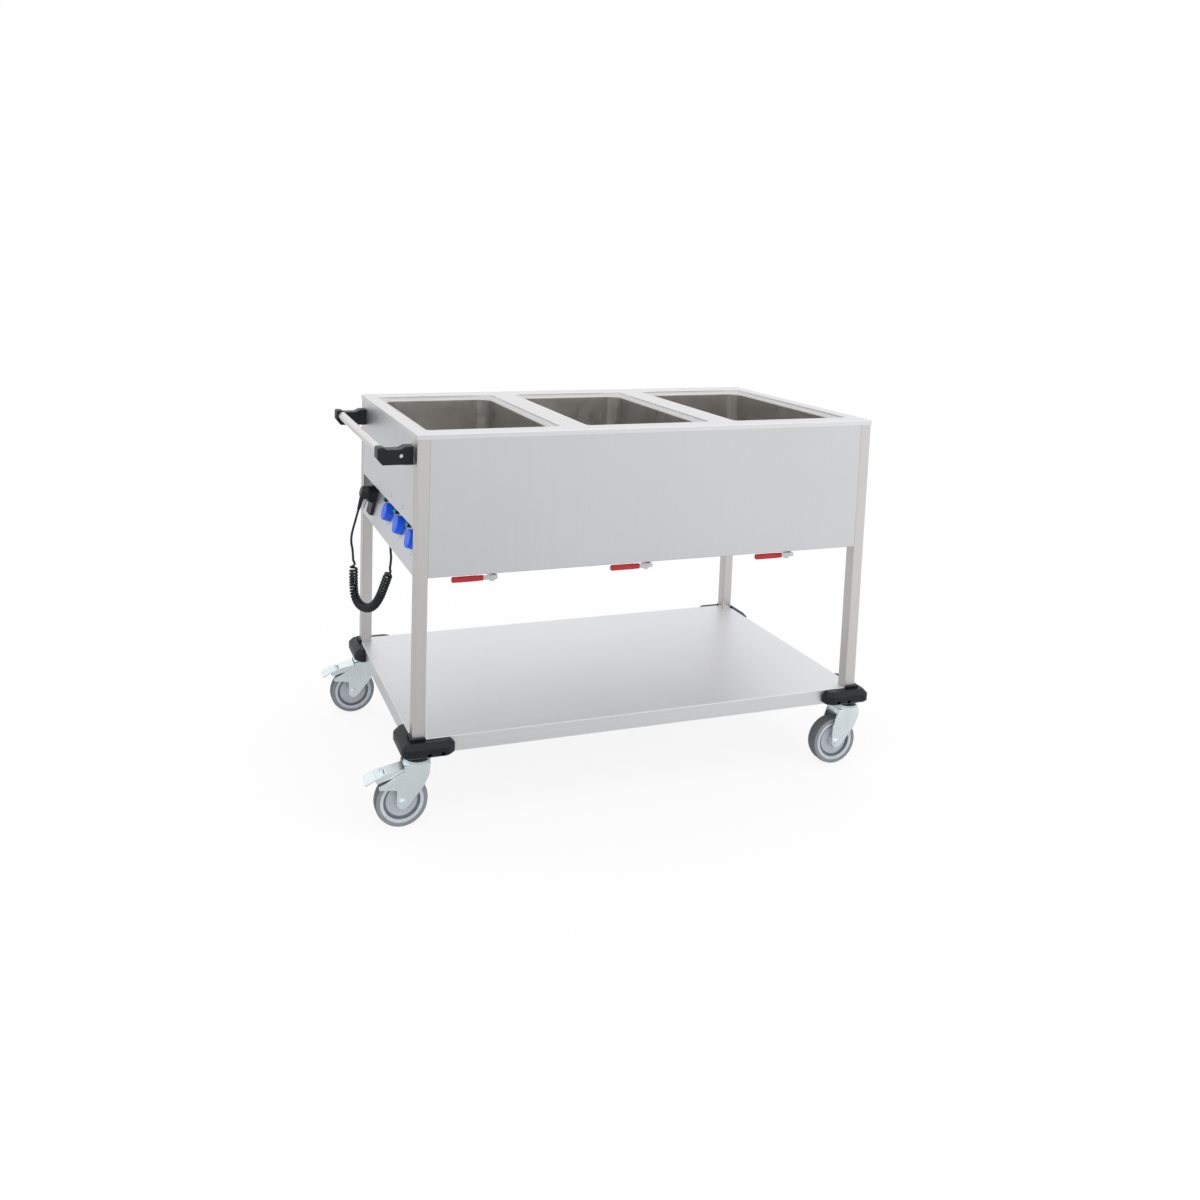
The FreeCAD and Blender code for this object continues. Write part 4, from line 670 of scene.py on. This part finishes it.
def grip_roots():
    """Red dipping that runs on along each lever from its sleeve, a rounded oblong narrower at its end.

    Section: (y, z) = half sizes times the square roots of |cos t| and |sin t| with their signs.
    """
    half_thick, half_tall = 0.0035, 0.0065
    along = np.array((-0.0430, -0.0320, -0.0302, -0.0294, -0.0290))
    size = np.array((0.97, 0.97, 0.93, 0.84, 0.70))[:, None]
    angle = round_angles(24)
    ring_y = half_thick * np.sign(np.cos(angle)) * np.sqrt(np.abs(np.cos(angle)))
    ring_z = half_tall * np.sign(np.sin(angle)) * np.sqrt(np.abs(np.sin(angle)))
    y = VALVE_Y - LEVER_OUT + size * ring_y
    z = VALVE_Z + size * ring_z
    faces = tube_faces(len(along), len(angle))
    for index in WELLS:
        middle = DECK_X + (index - 2) * WELL_PITCH
        x = np.broadcast_to(middle + along[:, None], y.shape)
        vertices = np.stack((x, y, z), axis=-1)
        new_piece(f"grip_root_{index}", vertices, faces, grip_red, f"lever_{index}")


def knob_y(index):
    """Where a knob is along the fascia, counted from the back."""
    return KNOB_ROW_Y + (2 - index) * KNOB_PITCH


def on_fascia(y, rise):
    """Frame of a mark on the sloping fascia: across, up the slope and out of the sheet."""
    slant, flat = math.sin(FASCIA_SLOPE), math.cos(FASCIA_SLOPE)
    spot = (DECK_X - FACE_X + rise * slant, y, BODY_FLOOR + rise * flat)
    turn = Matrix(((0, -1, 0), (slant, 0, flat), (-flat, 0, slant))).transposed()
    return Matrix.Translation(spot) @ turn.to_4x4()


def on_end_panel(y, z):
    """Frame of a mark on the left end panel."""
    turn = Matrix(((0, -1, 0), (0, 0, 1), (-1, 0, 0))).transposed()
    return Matrix.Translation((DECK_X - FACE_X, y, z)) @ turn.to_4x4()


def dial_marks():
    """Ring of ticks round each knob: flat oblongs along the radius, from the top over 270 degrees."""
    inner, outer, half_wide, thick = 0.0265, 0.0310, 0.0005, 0.0002
    angle = np.radians(np.arange(0, 271, 22.5))
    across, up = np.sin(angle)[:, None], np.cos(angle)[:, None]
    corners = np.meshgrid((inner, outer), (-half_wide, half_wide), (0.0, thick), indexing="ij")
    out, side, rise = (corner.ravel() for corner in corners)
    x = across * out + up * side
    y = up * out - across * side
    ticks = np.stack((x, y, np.broadcast_to(rise, x.shape)), axis=-1).reshape(-1, 3)
    sides = np.array((
        (0, 1, 3, 2),
        (4, 6, 7, 5),
        (0, 4, 5, 1),
        (2, 3, 7, 6),
        (0, 2, 6, 4),
        (1, 5, 7, 3),
    ))
    faces = (np.arange(len(angle))[:, None, None] * len(out) + sides).reshape(-1, 4).tolist()
    for index in WELLS:
        turn = np.array(on_fascia(knob_y(index), KNOB_RISE))
        vertices = ticks @ turn[:3, :3].T + turn[:3, 3]
        new_piece(f"dial_ticks_{index}", vertices, faces, dial_ink, "trolley")


def number_mark(name, digits, size, place):
    """Printed number, a flat letter form made a mesh and then set in its place."""
    letters = bpy.data.curves.new(name, "FONT")
    letters.body = digits
    letters.size = size
    letters.extrude = 0.0001
    letters.resolution_u = 4
    letters.align_x = "CENTER"
    letters.align_y = "CENTER"
    holder = bpy.data.objects.new(name, letters)
    mesh = bpy.data.meshes.new_from_object(holder)
    bpy.data.objects.remove(holder)
    bpy.data.curves.remove(letters)
    mesh.transform(place)
    mesh.materials.clear()
    mesh.materials.append(dial_ink)
    ridden(name, mesh, "trolley")


def printed_numbers():
    """Number of each well over its knob, and 0 to 6 round the dial from the top."""
    well_size, well_number_z, dial_size, reach = 0.014, 0.720, 0.0065, 0.0355
    for index, y in zip(WELLS, (0.054, -0.072, -0.194)):
        number_mark(f"well_number_{index}", str(index), well_size, on_end_panel(y, well_number_z))
        for value in range(7):
            angle = value * math.radians(45)
            dial_y = knob_y(index) - reach * math.sin(angle)
            place = on_fascia(dial_y, KNOB_RISE + reach * math.cos(angle))
            number_mark(f"dial_{index}_{value}", str(value), dial_size, place)


seam_beads()
grip_roots()
dial_marks()
printed_numbers()


# Studio

FLOOR_HALF = 60.0
LAMP_SIZE = 5.0
LAMP_AIM = Vector((0, 0, 0.5))


def seen_rays(tree):
    """1 for rays from the camera or sent on by metal or glass, and 1 for the camera's own alone."""
    rays = add(tree, "ShaderNodeLightPath")
    by_camera = rays.outputs["Is Camera Ray"]
    shiny = worked(tree, "MAXIMUM", rays.outputs["Is Glossy Ray"], rays.outputs["Is Transmission Ray"])
    return worked(tree, "MAXIMUM", by_camera, shiny), by_camera


def floor_material():
    """White for the camera, which lets some shadow through near the trolley; greyer in reflections, where the
    grey is painted shade.

    The white grows with the distance from the middle. The reflected grey is painted shade: darker near the
    trolley, standing in for its shadow as metals see it, and darker to the left, standing in for shade on the
    left of the panels; it clears with the distance and to the right.
    """
    made = bpy.data.materials.new("pale_floor")
    made.use_nodes = True
    tree = made.node_tree
    tree.nodes.clear()
    place = add(tree, "ShaderNodeTexCoord").outputs["Object"]
    away = add(tree, "ShaderNodeVectorMath", operation="LENGTH")
    wire(tree, place, away.inputs[0])
    seen, by_camera = seen_rays(tree)
    white = spread(tree, away.outputs["Value"], 0.9, 3.5, 0.86, 1.0)
    # Painted shade that only reflections see: the floor is darker to the left and near the trolley
    painted_shade_by_side = spread(tree, split_place(tree, place)["X"], -0.5, 2.8, 0.70, 1.0)
    painted_shadow_by_distance = spread(tree, away.outputs["Value"], 0.6, 2.2, 0.82, 1.0)
    grey = worked(tree, "MULTIPLY", painted_shade_by_side, painted_shadow_by_distance)
    matt = add(tree, "ShaderNodeBsdfDiffuse", Color=(0.97, 0.97, 0.97, 1))
    glow = add(tree, "ShaderNodeEmission", Color=(1, 1, 1, 1))
    wire(tree, chosen(tree, by_camera, grey, 1.0), glow.inputs["Strength"])
    mix = add(tree, "ShaderNodeMixShader")
    wire(tree, worked(tree, "MULTIPLY", seen, white), mix.inputs[0])
    wire(tree, matt.outputs[0], mix.inputs[1])
    wire(tree, glow.outputs[0], mix.inputs[2])
    out = add(tree, "ShaderNodeOutputMaterial")
    wire(tree, mix.outputs[0], out.inputs["Surface"])
    return made


def pale_floor():
    """White floor that keeps the shadow near the trolley and runs out into the white room."""
    corners = [
        (-FLOOR_HALF, -FLOOR_HALF, 0),
        (FLOOR_HALF, -FLOOR_HALF, 0),
        (FLOOR_HALF, FLOOR_HALF, 0),
        (-FLOOR_HALF, FLOOR_HALF, 0),
    ]
    mesh = bpy.data.meshes.new("floor")
    mesh.from_pydata(corners, [], [(0, 1, 2, 3)])
    floor = bpy.data.objects.new("floor", mesh)
    scene.collection.objects.link(floor)
    mesh.materials.append(floor_material())


def soft_room():
    """White world, a little dimmer towards the ground for all but the camera."""
    world = bpy.data.worlds.new("soft_room")
    world.use_nodes = True
    scene.world = world
    tree = world.node_tree
    tree.nodes.clear()
    heading = split_place(tree, add(tree, "ShaderNodeTexCoord").outputs["Generated"])
    level = spread(tree, heading["Z"], -0.2, 0.6, 0.84, 1.0)
    by_camera = add(tree, "ShaderNodeLightPath").outputs["Is Camera Ray"]
    light = add(tree, "ShaderNodeBackground", Color=(1, 1, 1, 1))
    wire(tree, chosen(tree, by_camera, level, 1.0), light.inputs["Strength"])
    out = add(tree, "ShaderNodeOutputWorld")
    wire(tree, light.outputs[0], out.inputs["Surface"])


def large_lamp(name, spot, power):
    """Square lamp that faces the trolley."""
    lamp = bpy.data.lights.new(name, "AREA")
    lamp.size = LAMP_SIZE
    lamp.energy = power
    holder = bpy.data.objects.new(name, lamp)
    holder.location = spot
    holder.rotation_mode = "QUATERNION"
    holder.rotation_quaternion = (LAMP_AIM - Vector(spot)).to_track_quat("-Z", "Y")
    scene.collection.objects.link(holder)


pale_floor()
soft_room()
large_lamp("key_lamp", (-2.6, -3.2, 5.5), power=34.0)
large_lamp("fill_lamp", (3.0, -2.4, 5.0), power=25.0)
